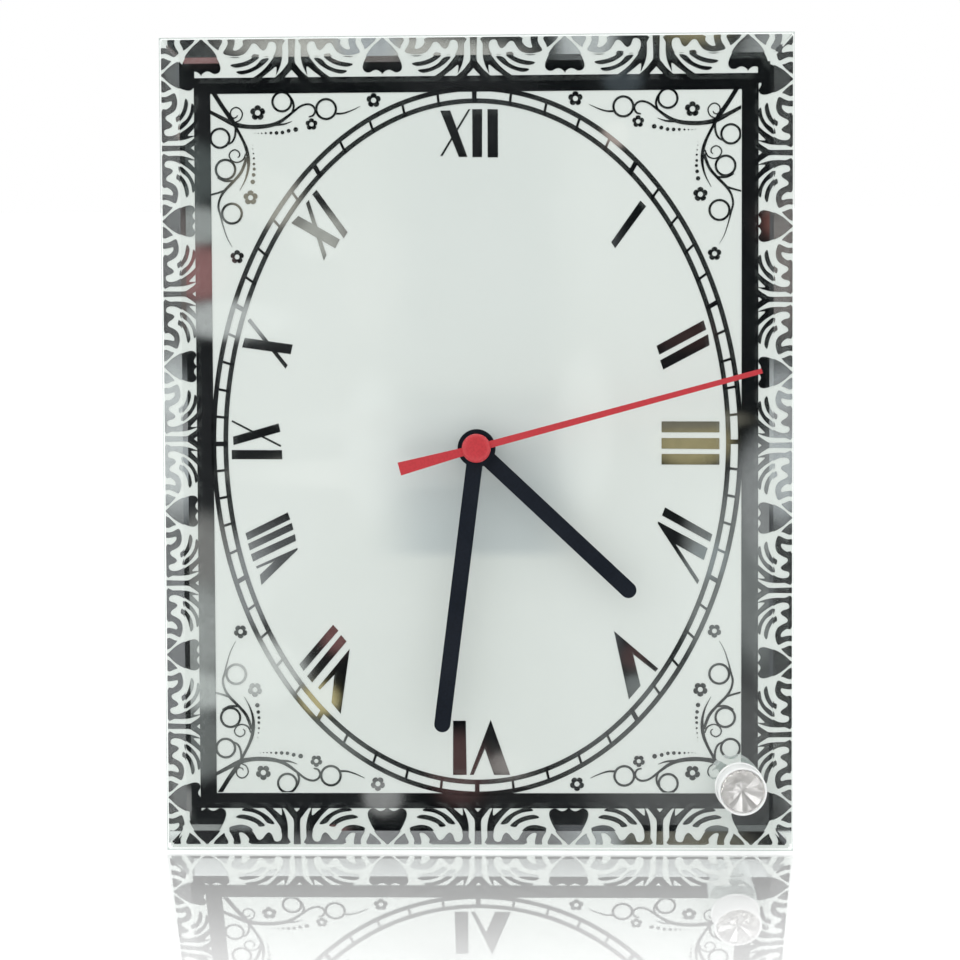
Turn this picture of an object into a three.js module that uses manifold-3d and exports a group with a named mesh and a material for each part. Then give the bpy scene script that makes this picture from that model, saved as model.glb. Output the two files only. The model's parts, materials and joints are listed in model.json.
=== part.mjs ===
import * as THREE from 'three';
import { mergeVertices } from 'three/addons/utils/BufferGeometryUtils.js';
import Module from 'manifold-3d';

const wasm = await Module();
wasm.setup();

// Standing glass clock, millimetres. Panel frame: X right, Y to the back with the back of the glass
// at Y = 0, Z up along the glass from its lower edge.

// Glass panel
const GLASS_WIDTH = 178;
const GLASS_HEIGHT = 230;
const GLASS_THICKNESS = 5;
const BEVEL_WIDTH = 6;
const BEVEL_DEPTH = 1.6;
const SHAFT_HEIGHT = 114.4;
const SHAFT_HOLE_RADIUS = 4;

// Mirror film and white coat on the back of the glass
const FILM_GAP = 0.05;
const MIRROR_THICKNESS = 0.1;
const COAT_THICKNESS = 0.1;
const COAT_MARGIN = 0.3;
const COAT_MARGIN_LOW = 1.4;
const COAT_HOLE_EXTRA = 0.2;
const BORDER_SIDE = 9.5;
const BORDER_END = 11.2;
const BAND_SIDE = 4.7;
const BAND_END = 4.4;
const RING_SIDE = 16.1;
const RING_END = 16.85;
const RING_RISE = 0.6;
const RING_LINE = 1.35;
const RING_SPACING = 3.4;
const RING_SEGMENTS = 60;
const MINUTES = 60;
const MINUTES_PER_HOUR_MARK = 5;
const MINUTE_TICK = 0.7;
const HOUR_TICK = 1.3;
const FILM_EDGE = 0.4;
const SIDE_MOTIFS = 5;
const END_MOTIFS = 3;

// Half outlines of the border's bud and forked stem
// Each point is a share of half a repeat across and a share of the border's depth outwards
const BUD_OUTLINE = [
  [0.16, -0.12], [0.205, 0.22], [0.19, 0.37], [0.14, 0.55], [0.09, 0.72], [0.045, 0.87], [0, 0.95],
];
const STEM_OUTLINE = [
  [0, 1], [0.031, 1], [0.032, 0.3], [0.15, -0.1], [0.07, -0.1], [0, 0.13],
];

// Movement case
const CASE_SIZE = 56;
const CASE_CORNER = 3;
const CORNER_SEGMENTS = 4;
const CASE_FRONT = 1.7;
const CASE_WALL = 1.4;
const CASE_FLOOR = 3.1;
const CASE_REAR = 16.2;
const COVER_SEAT = 14.5;
const PARTITION_LOW = -11.9;
const PARTITION_HIGH = -10.9;
const BAY_FLOOR = 2.4;
const BAY_LOW = -26.8;
const NOTCH_HALF_WIDTH = 9;
const NOTCH_FRONT = 8;
const SLOT_WIDTH = 1.6;
const SLOT_FRONT = 9;
const COVER_FRONT = 14.8;
const COVER_EDGE = -11.1;

// Bush, nut and seals
const BUSH_RADIUS = 3.5;
const BUSH_BORE = 2.75;
const BUSH_FRONT = -7.6;
const BUSH_SEGMENTS = 20;
const GASKET_RADIUS = 11;
const GASKET_FRONT = 0.35;
const GASKET_BACK = 1.6;
const FIT_GAP = 0.1;
const NUT_ACROSS_FLATS = 9;
const NUT_BACK = -5.4;
const NUT_FRONT = -7;
const WASHER_RADIUS = 5.1;
const WASHER_THICKNESS = 0.25;

// Tooth form, in parts of the module and of the pitch
const ADDENDUM = 0.8;
const DEDENDUM = 1.1;
const TIP_SHARE = 0.22;
const ROOT_SHARE = 0.46;

// Tooth counts
const ROTOR_PINION_TEETH = 6;
const INTERMEDIATE_WHEEL_TEETH = 30;
const INTERMEDIATE_PINION_TEETH = 8;
const SECOND_WHEEL_TEETH = 48;
const SECOND_PINION_TEETH = 6;
const THIRD_WHEEL_TEETH = 45;
const THIRD_PINION_TEETH = 6;
const CENTRE_WHEEL_TEETH = 48;
const CANNON_TEETH = 10;
const MOTION_WHEEL_TEETH = 30;
const MOTION_PINION_TEETH = 8;
const HOUR_WHEEL_TEETH = 32;
const KNOB_TEETH = 10;

// Axis distances and the directions of the axes, in degrees up from X
const THIRD_DISTANCE = 10.8;
const THIRD_DIRECTION = 160;
const INTERMEDIATE_DISTANCE = 9.8;
const INTERMEDIATE_DIRECTION = 60;
const ROTOR_DISTANCE = 6.4;
const ROTOR_DIRECTION = 60;
const MOTION_DISTANCE = 9;
const MOTION_DIRECTION = -20;

// Depth levels of the wheels, front and back
const HOUR_WHEEL_LEVEL = [3.4, 4.2];
const MOTION_PINION_LEVEL = [3.35, 4.6];
const MOTION_WHEEL_LEVEL = [5.0, 5.8];
const CANNON_LEVEL = [4.9, 6.2];
const KNOB_PINION_LEVEL = [4.8, 6.1];
const CENTRE_WHEEL_LEVEL = [6.7, 7.4];
const THIRD_PINION_LEVEL = [6.5, 8.0];
const TRAIN_PLATE_LEVEL = [8.3, 9.3];
const THIRD_WHEEL_LEVEL = [9.7, 10.4];
const SECOND_PINION_LEVEL = [9.6, 10.9];
const SECOND_WHEEL_LEVEL = [11.2, 11.9];
const INTERMEDIATE_PINION_LEVEL = [11.0, 12.5];
const INTERMEDIATE_WHEEL_LEVEL = [12.8, 13.5];
const ROTOR_PINION_LEVEL = [12.6, 13.9];
const ROTOR_MAGNET_LEVEL = [10.3, 11.9];
const STATOR_LEVEL = [10.6, 11.4];

// Arbors, tubes and pivots
const RUNNING_GAP = 0.2;
const SECOND_ARBOR_RADIUS = 0.5;
const SECOND_ARBOR_FRONT = -13;
const SECOND_HUB_RADIUS = 0.7;
const SECOND_HUB_FRONT = 9.5;
const SECOND_HUB_BACK = 12.4;
const MINUTE_BORE = 0.75;
const MINUTE_TUBE_RADIUS = 1.65;
const MINUTE_TUBE_FRONT = -11.25;
const CLUTCH_RADIUS = 1.3;
const CLUTCH_BACK = 7.9;
const HOUR_BORE = 1.85;
const HOUR_TUBE_RADIUS = 2.55;
const HOUR_TUBE_FRONT = -9.25;
const ARBOR_RADIUS = 0.6;
const PIVOT_RADIUS = 0.4;
const PIVOT_BACK = 15.4;
const PIVOT_STEP = 14.3;
const PIVOT_HOLE_DEPTH = 0.8;
const PLATE_PIVOT_FRONT = 8.5;
const THIRD_FRONT = 5;
const THIRD_BOSS_RADIUS = 1.4;
const THIRD_BOSS_TOP = 6.2;
const THIRD_BOSS_BORE_FLOOR = 4.7;
const MAGNET_RADIUS = 2.4;
const MOTION_PIN_RADIUS = 0.8;
const MOTION_PIN_TOP = 6.3;
const KNOB_PIN_TOP = 5.5;
const KNOB_BORE_BACK = 5.8;
const KNOB_SHAFT_RADIUS = 1.25;
const KNOB_RADIUS = 5;
const KNOB_FRONT = 16.5;
const KNOB_BACK = 20.5;
const KNOB_FLUTES = 20;
const KNOB_FLUTE_DEPTH = 0.35;
const KNOB_CHAMFER = 0.5;
const TUBE_SEGMENTS = 16;
const ARBOR_SEGMENTS = 10;
const HOLE_SEGMENTS = 16;

// Train plate, its outline, and the posts that carry it
const TRAIN_PLATE_OUTLINE = [[-22, -10.3], [12, -10.3], [12, -1], [15.9, 0], [15.9, 25.6], [-22, 25.6]];
const PLATE_POSTS = [[-20.5, -8.8], [-20.5, 22.5], [14.7, 3.2], [12.5, 23]];
const POST_RADIUS = 1.2;
const POST_SEGMENTS = 8;
const SEAT_GAP = 0.05;

// Stepping motor
const STATOR_OUTLINE = [[4.2, 10.6], [11.2, 10.6], [11.2, 0.9], [21.6, 0.9], [21.6, 3.3], [13.4, 3.3],
  [13.4, 22.9], [21.6, 22.9], [21.6, 25.3], [9.2, 25.3], [4.2, 20.3]];
const STATOR_GAP = 0.4;
const STATOR_POSTS = [[6.4, 20], [14.4, 2.1], [14.4, 24.1]];
const STATOR_END_POSTS = [[20.5, 2.1], [20.5, 24.1]];
const CORE_X = 20.5;
const CORE_HALF_WIDTH = 1.1;
const CORE_THICKNESS = 0.8;
const CORE_LOW = 1;
const CORE_HIGH = 25.2;
const BOBBIN_RADIUS = 1.75;
const BOBBIN_LOW = 4.3;
const BOBBIN_HIGH = 21.9;
const FLANGE_RADIUS = 2.6;
const FLANGE_THICKNESS = 0.8;
const WINDING_RADIUS = 2.4;
const COIL_SEGMENTS = 16;

// Circuit board with its crystal can and sealed chip
const BOARD_LEFT = -26.2;
const BOARD_RIGHT = -12.6;
const BOARD_LOW = -9.5;
const BOARD_HIGH = 25.5;
const BOARD_LEVEL = [12.6, 13.4];
const BOARD_POSTS = [[-24.6, -8.4], [-24.6, 24.1]];
const BOARD_POST_RADIUS = 1;
const CAN_RADIUS = 1;
const CAN_X = -24.2;
const CAN_LOW = 11;
const CAN_HIGH = 17;
const CHIP_X = -18.5;
const CHIP_Z = 15;
const CHIP_RADIUS = 2.9;
const CHIP_SHOULDER = 0.35;
const CHIP_HEIGHT = 0.8;
const CHIP_CROWN = 0.5;

// Cell and its contacts
const CELL_RADIUS = 7.1;
const CELL_LENGTH = 50.5;
const CELL_NUB_RADIUS = 2.75;
const CELL_NUB_LENGTH = 1.4;
const CELL_EDGE = 0.6;
const CELL_AXIS_Y = 9.8;
const CELL_SEGMENTS = 24;
const CONTACT_THICKNESS = 0.3;
const CONTACT_FRONT = 10;
const CONTACT_BACK = 14.2;
const CONTACT_TOP = -9.6;
const CONTACT_LOW = -25.4;
const CONTACT_WALL_GAP = 0.25;
const CONTACT_CELL_GAP = 0.3;

// Hands
const HOUR_LENGTH = 60.1;
const HOUR_ANGLE = 133.3;
const HOUR_HAND_LEVEL = [-9.2, -8.8];
const HUB_RADIUS = 5.3;
const BLADE_WIDTH = 4.5;
const MINUTE_LENGTH = 79.7;
const MINUTE_ANGLE = 187.3;
const MINUTE_HAND_LEVEL = [-11.2, -10.8];
const MINUTE_HUB_RADIUS = 5.1;
const SECOND_LENGTH = 81.2;
const SECOND_TAIL = 22;
const SECOND_ANGLE = 75.1;
const SECOND_HAND_LEVEL = [-13.2, -12.9];
const NEEDLE_TIP_WIDTH = 1.4;
const NEEDLE_ROOT_WIDTH = 2;
const NEEDLE_TAIL_WIDTH = 3.7;
const CAP_RADIUS = 4;
const CAP_FRONT = -14.4;
const CAP_SHOULDER = -13.6;
const CAP_CROWN_RADIUS = 2.5;
const COLLET_RADIUS = 1.1;
const COLLET_BACK = -12.2;
const HAND_END_SEGMENTS = 8;

// Stud, washers and leg at the lower right
const STUD_SIDE = 15.4;
const STUD_HEIGHT = 18.7;
const STUD_HOLE_RADIUS = 2.5;
const SHANK_RADIUS = 2;
const SHANK_BACK = 10;
const STUD_WASHER_RADIUS = 7;
const STUD_WASHER_THICKNESS = 0.9;
const CUP_RADIUS = 6.75;
const CUP_FLOOR = 3.7;
const CUP_DEPTH = 5.2;
const CUP_INSIDE_RADIUS = 6.15;
const CRYSTAL_RADIUS = 6;
const CRYSTAL_SIDES = 16;
const CRYSTAL_GIRDLE = 1.2;
const CRYSTAL_CROWN = 0.8;
const CRYSTAL_CROWN_RADIUS = 4.4;
const CRYSTAL_POINT = 1.3;
const CRYSTAL_POINT_RADIUS = 0.3;
const REAR_WASHER_RADIUS = 6;
const LEG_RADIUS = 3.5;
const LEG_LENGTH = 76;
const LEG_CHAMFER = 0.5;
const LEG_BORE_DEPTH = 9.5;
const STUD_SEGMENTS = 20;

const MERGE_DISTANCE = 1e-4;
const CUT_MARGIN = 1;

// Derived depths and places
const glassFront = -GLASS_THICKNESS;
const mirrorBack = FILM_GAP + MIRROR_THICKNESS;
const coatFront = mirrorBack + FILM_GAP;
const coatBack = coatFront + COAT_THICKNESS;
const coatFace = coatBack + FILM_GAP;
const caseHalf = CASE_SIZE / 2;
const caseInside = caseHalf - CASE_WALL;
const ringHeight = GLASS_HEIGHT / 2 + RING_RISE;
const ringHalfWidth = GLASS_WIDTH / 2 - RING_SIDE;
const ringHalfHeight = GLASS_HEIGHT / 2 - RING_END;
const studX = GLASS_WIDTH / 2 - STUD_SIDE;
const shaftAxis = [0, 0];
const thirdAxis = stepFrom(shaftAxis, THIRD_DISTANCE, THIRD_DIRECTION);
const intermediateAxis = stepFrom(shaftAxis, INTERMEDIATE_DISTANCE, INTERMEDIATE_DIRECTION);
const rotorAxis = stepFrom(intermediateAxis, ROTOR_DISTANCE, ROTOR_DIRECTION);
const motionAxis = stepFrom(shaftAxis, MOTION_DISTANCE, MOTION_DIRECTION);
const knobAxis = stepFrom(motionAxis, MOTION_DISTANCE, MOTION_DIRECTION);
const cellAxisZ = (BAY_LOW + PARTITION_LOW) / 2;
const coreFront = STATOR_LEVEL[1] + SEAT_GAP;
const coreY = coreFront + CORE_THICKNESS / 2;
const legFront = coatFace + STUD_WASHER_THICKNESS + FIT_GAP;
const legBack = legFront + LEG_LENGTH;
const lean = Math.atan2(STUD_HEIGHT - LEG_RADIUS, legBack - LEG_CHAMFER);

const FINISHES = {
  glass: ['#dfe9e6', 0.05, 0],
  mirror: ['#3a4046', 0.08, 1],
  coat: ['#dce3e0', 0.7, 0],
  blackPlastic: ['#17181b', 0.5, 0],
  whitePlastic: ['#e6e4da', 0.55, 0],
  brassSheet: ['#c9a25a', 0.3, 1],
  steelSheet: ['#b9bcc0', 0.3, 1],
  boardGreen: ['#2c5a3a', 0.5, 0],
  copperWire: ['#b06a34', 0.35, 1],
  rubberBlack: ['#1b1b1c', 0.85, 0],
  handBlack: ['#1e2228', 0.35, 0.6],
  handRed: ['#c53d44', 0.4, 0.1],
  crystal: ['#f2f4f5', 0.03, 0],
  clearPlastic: ['#dfe3e4', 0.2, 0],
  chrome: ['#d5d8dc', 0.12, 1],
  cellSleeve: ['#5a6068', 0.35, 0.4],
};

function radians(degrees) {
  return degrees * Math.PI / 180;
}

function polar(radius, angle) {
  return [radius * Math.cos(angle), radius * Math.sin(angle)];
}

function stepFrom(axis, distance, direction) {
  const [across, up] = polar(distance, radians(direction));
  return [axis[0] + across, axis[1] + up];
}

function signedVolume(position, triangles) {
  const corners = [new THREE.Vector3(), new THREE.Vector3(), new THREE.Vector3()];
  let volume = 0;
  for (let start = 0; start < triangles.length; start += 3) {
    corners.forEach((corner, index) => corner.fromBufferAttribute(position, triangles[start + index]));
    volume += corners[0].dot(corners[1].cross(corners[2]));
  }
  return volume;
}

// One closed body from a drawn geometry, facing out.
function solidOf(geometry) {
  const bare = new THREE.BufferGeometry();
  bare.setAttribute('position', geometry.getAttribute('position'));
  bare.setIndex(geometry.index);
  const merged = mergeVertices(bare, MERGE_DISTANCE);
  const position = merged.getAttribute('position');
  const triangles = [];
  for (let start = 0; start < merged.index.count; start += 3) {
    const [a, b, c] = [0, 1, 2].map((index) => merged.index.getX(start + index));
    if (a !== b && b !== c && c !== a) {
      triangles.push(a, b, c);
    }
  }
  if (signedVolume(position, triangles) < 0) {
    triangles.reverse();
  }
  return new wasm.Manifold(new wasm.Mesh({
    numProp: 3,
    vertProperties: new Float32Array(position.array),
    triVerts: new Uint32Array(triangles),
  }));
}

function outline(points) {
  return new THREE.Shape(points.map(([across, up]) => new THREE.Vector2(across, up)));
}

// A flat outline in X and Z given a thickness along Y.
function prism(points, level, place = [0, 0]) {
  const [front, back] = level;
  const geometry = new THREE.ExtrudeGeometry(outline(points), { depth: back - front, bevelEnabled: false });
  geometry.rotateX(Math.PI / 2);
  geometry.translate(place[0], back, place[1]);
  return solidOf(geometry);
}

// A profile of radius and Y turned about an axis along Y.
function turned(profile, segments, place = [0, 0]) {
  const turning = profile.map(([radius, y]) => new THREE.Vector2(radius, y));
  const geometry = new THREE.LatheGeometry(turning, segments);
  geometry.translate(place[0], 0, place[1]);
  return solidOf(geometry);
}

function rod(radius, level, segments, place) {
  const [front, back] = level;
  return turned([[0, front], [radius, front], [radius, back], [0, back]], segments, place);
}

function sleeve(inner, outer, level, segments, place) {
  const [front, back] = level;
  const profile = [[inner, front], [outer, front], [outer, back], [inner, back], [inner, front]];
  return turned(profile, segments, place);
}

function block(xRange, yRange, zRange) {
  const [width, depth, height] = [xRange, yRange, zRange].map(([low, high]) => high - low);
  const geometry = new THREE.BoxGeometry(width, depth, height);
  const [x, y, z] = [xRange, yRange, zRange].map(([low, high]) => (low + high) / 2);
  geometry.translate(x, y, z);
  return solidOf(geometry);
}

// Rings of equal count joined one to the next and closed at both ends.
function lofted(rings) {
  const count = rings[0].length;
  const triangles = [];
  for (let level = 0; level + 1 < rings.length; level += 1) {
    for (let index = 0; index < count; index += 1) {
      const next = (index + 1) % count;
      const [a, b] = [level * count + index, level * count + next];
      triangles.push(a, b, b + count, a, b + count, a + count);
    }
  }
  const last = (rings.length - 1) * count;
  for (let index = 1; index + 1 < count; index += 1) {
    triangles.push(0, index + 1, index, last, last + index, last + index + 1);
  }
  const geometry = new THREE.BufferGeometry();
  geometry.setAttribute('position', new THREE.Float32BufferAttribute(rings.flat(2), 3));
  geometry.setIndex(triangles);
  return solidOf(geometry);
}

function joined(solids) {
  return solids.reduce((sum, solid) => sum.add(solid));
}

function without(solid, cuts) {
  return cuts.reduce((rest, cut) => rest.subtract(cut), solid);
}

function rectangle(xLow, xHigh, zLow, zHigh) {
  return [[xLow, zLow], [xHigh, zLow], [xHigh, zHigh], [xLow, zHigh]];
}

function roundedSquare(half, corner) {
  const points = [];
  for (let quarter = 0; quarter < 4; quarter += 1) {
    const [across, up] = polar((half - corner) * Math.SQRT2, Math.PI / 4 + quarter * Math.PI / 2);
    for (let step = 0; step <= CORNER_SEGMENTS; step += 1) {
      const [dx, dz] = polar(corner, (quarter + step / CORNER_SEGMENTS) * Math.PI / 2);
      points.push([across + dx, up + dz]);
    }
  }
  return points;
}

function regular(radius, sides, phase = 0) {
  return Array.from({ length: sides }, (_, index) => polar(radius, phase + index * 2 * Math.PI / sides));
}

// Toothed outline with straight-flanked teeth, one tooth centred at the phase angle.
function gear(teeth, distance, mateTeeth, phase) {
  const size = 2 * distance / (teeth + mateTeeth);
  const pitch = 2 * Math.PI / teeth;
  const tip = size * (teeth / 2 + ADDENDUM);
  const root = size * (teeth / 2 - DEDENDUM);
  const points = [];
  for (let index = 0; index < teeth; index += 1) {
    const middle = phase + index * pitch;
    points.push(polar(root, middle - ROOT_SHARE * pitch / 2));
    points.push(polar(tip, middle - TIP_SHARE * pitch / 2));
    points.push(polar(tip, middle + TIP_SHARE * pitch / 2));
    points.push(polar(root, middle + ROOT_SHARE * pitch / 2));
  }
  return points;
}

// Phase that turns a gap between two teeth towards the mating tooth.
function gapTowards(direction, teeth) {
  return radians(direction) + Math.PI / teeth;
}

function node(parent, name, solid, finish) {
  const made = solid.getMesh();
  const indexed = new THREE.BufferGeometry();
  const positions = new Float32Array(made.vertProperties);
  indexed.setAttribute('position', new THREE.BufferAttribute(positions, made.numProp));
  indexed.setIndex(new THREE.BufferAttribute(new Uint32Array(made.triVerts), 1));
  const geometry = indexed.toNonIndexed();
  geometry.computeVertexNormals();
  const [color, roughness, metalness] = FINISHES[finish];
  const mesh = new THREE.Mesh(geometry, new THREE.MeshStandardMaterial({ color, roughness, metalness }));
  mesh.name = name;
  parent.add(mesh);
}

const group = new THREE.Group();
group.name = 'glass_clock';
const panel = new THREE.Group();
panel.name = 'panel';
const movement = new THREE.Group();
movement.name = 'movement';
movement.position.z = SHAFT_HEIGHT;
panel.add(movement);
group.add(panel);

// Glass with a bevelled front edge and two drilled holes
function glassRing(inset, y) {
  const half = GLASS_WIDTH / 2 - inset;
  return rectangle(-half, half, inset, GLASS_HEIGHT - inset).map(([x, z]) => [x, y, z]);
}
const shaftPlace = [0, SHAFT_HEIGHT];
const studPlace = [studX, STUD_HEIGHT];
const throughGlass = [glassFront - CUT_MARGIN, CUT_MARGIN];
const slab = lofted([
  glassRing(BEVEL_WIDTH, glassFront),
  glassRing(0, glassFront + BEVEL_DEPTH),
  glassRing(0, 0),
]);
node(panel, 'glass_panel', without(slab, [
  rod(SHAFT_HOLE_RADIUS, throughGlass, BUSH_SEGMENTS, shaftPlace),
  rod(STUD_HOLE_RADIUS, throughGlass, HOLE_SEGMENTS, studPlace),
]), 'glass');

const coatHalf = GLASS_WIDTH / 2 - COAT_MARGIN;
const coatSheet = block([-coatHalf, coatHalf], [coatFront, coatBack],
  [COAT_MARGIN_LOW, GLASS_HEIGHT - COAT_MARGIN]);
node(panel, 'white_back_coat', without(coatSheet, [
  rod(SHAFT_HOLE_RADIUS + COAT_HOLE_EXTRA, throughGlass, BUSH_SEGMENTS, shaftPlace),
  rod(STUD_HOLE_RADIUS + COAT_HOLE_EXTRA, throughGlass, HOLE_SEGMENTS, studPlace),
]), 'coat');

// Mirror film: straight band, oval minute ring of two lines, and the minute ticks between them
const mirrorLevel = [FILM_GAP, mirrorBack];
const throughMirror = [mirrorLevel[0] - CUT_MARGIN, mirrorLevel[1] + CUT_MARGIN];
function ovalPoint(offset, angle) {
  const halfWidth = ringHalfWidth + offset;
  const halfHeight = ringHalfHeight + offset;
  const [up, across] = polar(1, angle);
  const drop = SHAFT_HEIGHT - ringHeight;
  const a = (across / halfWidth) ** 2 + (up / halfHeight) ** 2;
  const b = drop * up / halfHeight ** 2;
  const c = (drop / halfHeight) ** 2 - 1;
  const reach = (Math.sqrt(b * b - a * c) - b) / a;
  return [reach * across, SHAFT_HEIGHT + reach * up];
}
function oval(offset) {
  const angles = Array.from({ length: RING_SEGMENTS }, (_, index) => -index * 2 * Math.PI / RING_SEGMENTS);
  return angles.map((angle) => ovalPoint(offset, angle));
}
function tickHalfAngle(minute) {
  const width = minute % MINUTES_PER_HOUR_MARK === 0 ? HOUR_TICK : MINUTE_TICK;
  const [across, up] = ovalPoint(0, minute * 2 * Math.PI / MINUTES);
  return Math.asin(width / 2 / Math.hypot(across, up - SHAFT_HEIGHT));
}
function ringWindow(minute) {
  const step = 2 * Math.PI / MINUTES;
  const start = minute * step + tickHalfAngle(minute);
  const end = (minute + 1) * step - tickHalfAngle(minute + 1);
  const edge = (RING_SPACING - RING_LINE) / 2;
  const corners = [
    ovalPoint(-edge, start), ovalPoint(edge, start), ovalPoint(edge, end), ovalPoint(-edge, end),
  ];
  return corners.reverse();
}
const bandHalf = GLASS_WIDTH / 2 - BORDER_SIDE;
const bandOutside = rectangle(-bandHalf, bandHalf, BORDER_END, GLASS_HEIGHT - BORDER_END);
const bandInside = rectangle(BAND_SIDE - bandHalf, bandHalf - BAND_SIDE,
  BORDER_END + BAND_END, GLASS_HEIGHT - BORDER_END - BAND_END);
const ringEdge = (RING_SPACING + RING_LINE) / 2;
const band = without(prism(bandOutside, mirrorLevel), [prism(bandInside, throughMirror)]);
const ring = without(prism(oval(ringEdge), mirrorLevel), [prism(oval(-ringEdge), throughMirror)]);
const windows = Array.from({ length: MINUTES }, (_, minute) => prism(ringWindow(minute), throughMirror));
const endRepeat = 2 * (bandHalf - BAND_SIDE / 2) / END_MOTIFS;
const sideRepeat = (GLASS_HEIGHT - 2 * BORDER_END) / SIDE_MOTIFS;
const endDepth = BORDER_END - FILM_EDGE;
const sideDepth = BORDER_SIDE - FILM_EDGE;
const borderTop = GLASS_HEIGHT - BORDER_END;
const endRow = { motifs: END_MOTIFS, repeat: endRepeat, depth: endDepth };
const sideRow = { motifs: SIDE_MOTIFS, repeat: sideRepeat, depth: sideDepth };
const borderRows = [
  { ...endRow, place: (along, out) => [along, borderTop + out] },
  { ...endRow, place: (along, out) => [along, BORDER_END - out] },
  { ...sideRow, place: (along, out) => [bandHalf + out, ringHeight + along] },
  { ...sideRow, place: (along, out) => [-bandHalf - out, ringHeight + along] },
];
function bothHalves(half) {
  const other = half.filter(([across]) => across > 0).reverse();
  return [...half, ...other.map(([across, out]) => [-across, out])];
}
function motifs({ repeat, depth, place }, half, steps) {
  return steps.map((step) => prism(bothHalves(half).map(
    ([across, out]) => place((step + across / 2) * repeat, out * depth),
  ), mirrorLevel));
}
function borderMotifs(side) {
  const buds = Array.from({ length: side.motifs + 1 }, (_, index) => index - side.motifs / 2);
  const stems = Array.from({ length: side.motifs }, (_, index) => index - (side.motifs - 1) / 2);
  return [...motifs(side, BUD_OUTLINE, buds), ...motifs(side, STEM_OUTLINE, stems)];
}
const film = joined([band, without(ring, windows), ...borderRows.flatMap(borderMotifs)]);
node(panel, 'mirror_border', without(film, [
  rod(STUD_HOLE_RADIUS + COAT_HOLE_EXTRA, throughMirror, HOLE_SEGMENTS, studPlace),
]), 'mirror');

// Movement case: walls, battery bay, partition, bush, posts and pivots
const caseLevel = [CASE_FRONT, CASE_REAR];
const caseOutline = roundedSquare(caseHalf, CASE_CORNER);
const caseShell = without(prism(caseOutline, caseLevel), [
  block([-caseInside, caseInside], [CASE_FLOOR, CASE_REAR + CUT_MARGIN], [PARTITION_HIGH, caseInside]),
  block([-caseInside, caseInside], [BAY_FLOOR, CASE_REAR + CUT_MARGIN], [BAY_LOW, PARTITION_LOW]),
  block([-caseHalf - CUT_MARGIN, caseHalf + CUT_MARGIN], [COVER_SEAT, CASE_REAR + CUT_MARGIN],
    [COVER_EDGE, caseHalf + CUT_MARGIN]),
  block([-NOTCH_HALF_WIDTH, NOTCH_HALF_WIDTH], [NOTCH_FRONT, CASE_REAR + CUT_MARGIN],
    [-caseHalf - CUT_MARGIN, BAY_LOW + CUT_MARGIN]),
  block([-caseInside, SLOT_WIDTH - caseInside], [SLOT_FRONT, CASE_REAR + CUT_MARGIN],
    [PARTITION_LOW - CUT_MARGIN, PARTITION_HIGH + CUT_MARGIN]),
  block([caseInside - SLOT_WIDTH, caseInside], [SLOT_FRONT, CASE_REAR + CUT_MARGIN],
    [PARTITION_LOW - CUT_MARGIN, PARTITION_HIGH + CUT_MARGIN]),
]);
const floorRoot = (CASE_FRONT + CASE_FLOOR) / 2;
const plateSeat = TRAIN_PLATE_LEVEL[0] - SEAT_GAP;
const statorSeat = STATOR_LEVEL[0] - SEAT_GAP;
const boardSeat = BOARD_LEVEL[0] - SEAT_GAP;
const caseFittings = [
  rod(BUSH_RADIUS, [BUSH_FRONT, floorRoot], BUSH_SEGMENTS, shaftAxis),
  ...PLATE_POSTS.map((place) => rod(POST_RADIUS, [floorRoot, plateSeat], POST_SEGMENTS, place)),
  ...STATOR_END_POSTS.map((place) => rod(POST_RADIUS, [floorRoot, statorSeat], POST_SEGMENTS, place)),
  ...BOARD_POSTS.map((place) => rod(BOARD_POST_RADIUS, [floorRoot, boardSeat], POST_SEGMENTS, place)),
  rod(MOTION_PIN_RADIUS, [floorRoot, MOTION_PIN_TOP], ARBOR_SEGMENTS, motionAxis),
  rod(MOTION_PIN_RADIUS, [floorRoot, KNOB_PIN_TOP], ARBOR_SEGMENTS, knobAxis),
  rod(THIRD_BOSS_RADIUS, [floorRoot, THIRD_BOSS_TOP], ARBOR_SEGMENTS, thirdAxis),
];
node(movement, 'movement_case', without(joined([caseShell, ...caseFittings]), [
  rod(BUSH_BORE, [BUSH_FRONT - CUT_MARGIN, CASE_FLOOR + CUT_MARGIN], BUSH_SEGMENTS, shaftAxis),
  rod(ARBOR_RADIUS + RUNNING_GAP, [THIRD_BOSS_BORE_FLOOR, THIRD_BOSS_TOP + CUT_MARGIN], ARBOR_SEGMENTS,
    thirdAxis),
]), 'blackPlastic');

const coverTop = without(prism(caseOutline, [COVER_FRONT, CASE_REAR]), [
  block([-caseHalf - CUT_MARGIN, caseHalf + CUT_MARGIN], [COVER_FRONT - CUT_MARGIN, CASE_REAR + CUT_MARGIN],
    [-caseHalf - CUT_MARGIN, COVER_EDGE + FIT_GAP]),
]);
const pivotHole = [COVER_FRONT - CUT_MARGIN, COVER_FRONT + PIVOT_HOLE_DEPTH];
const pivotHoles = [shaftAxis, thirdAxis, intermediateAxis, rotorAxis].map(
  (axis) => rod(PIVOT_RADIUS + RUNNING_GAP, pivotHole, ARBOR_SEGMENTS, axis),
);
node(movement, 'movement_cover', without(coverTop, [
  ...pivotHoles,
  rod(KNOB_SHAFT_RADIUS + RUNNING_GAP, [COVER_FRONT - CUT_MARGIN, CASE_REAR + CUT_MARGIN], HOLE_SEGMENTS,
    knobAxis),
]), 'blackPlastic');

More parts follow.
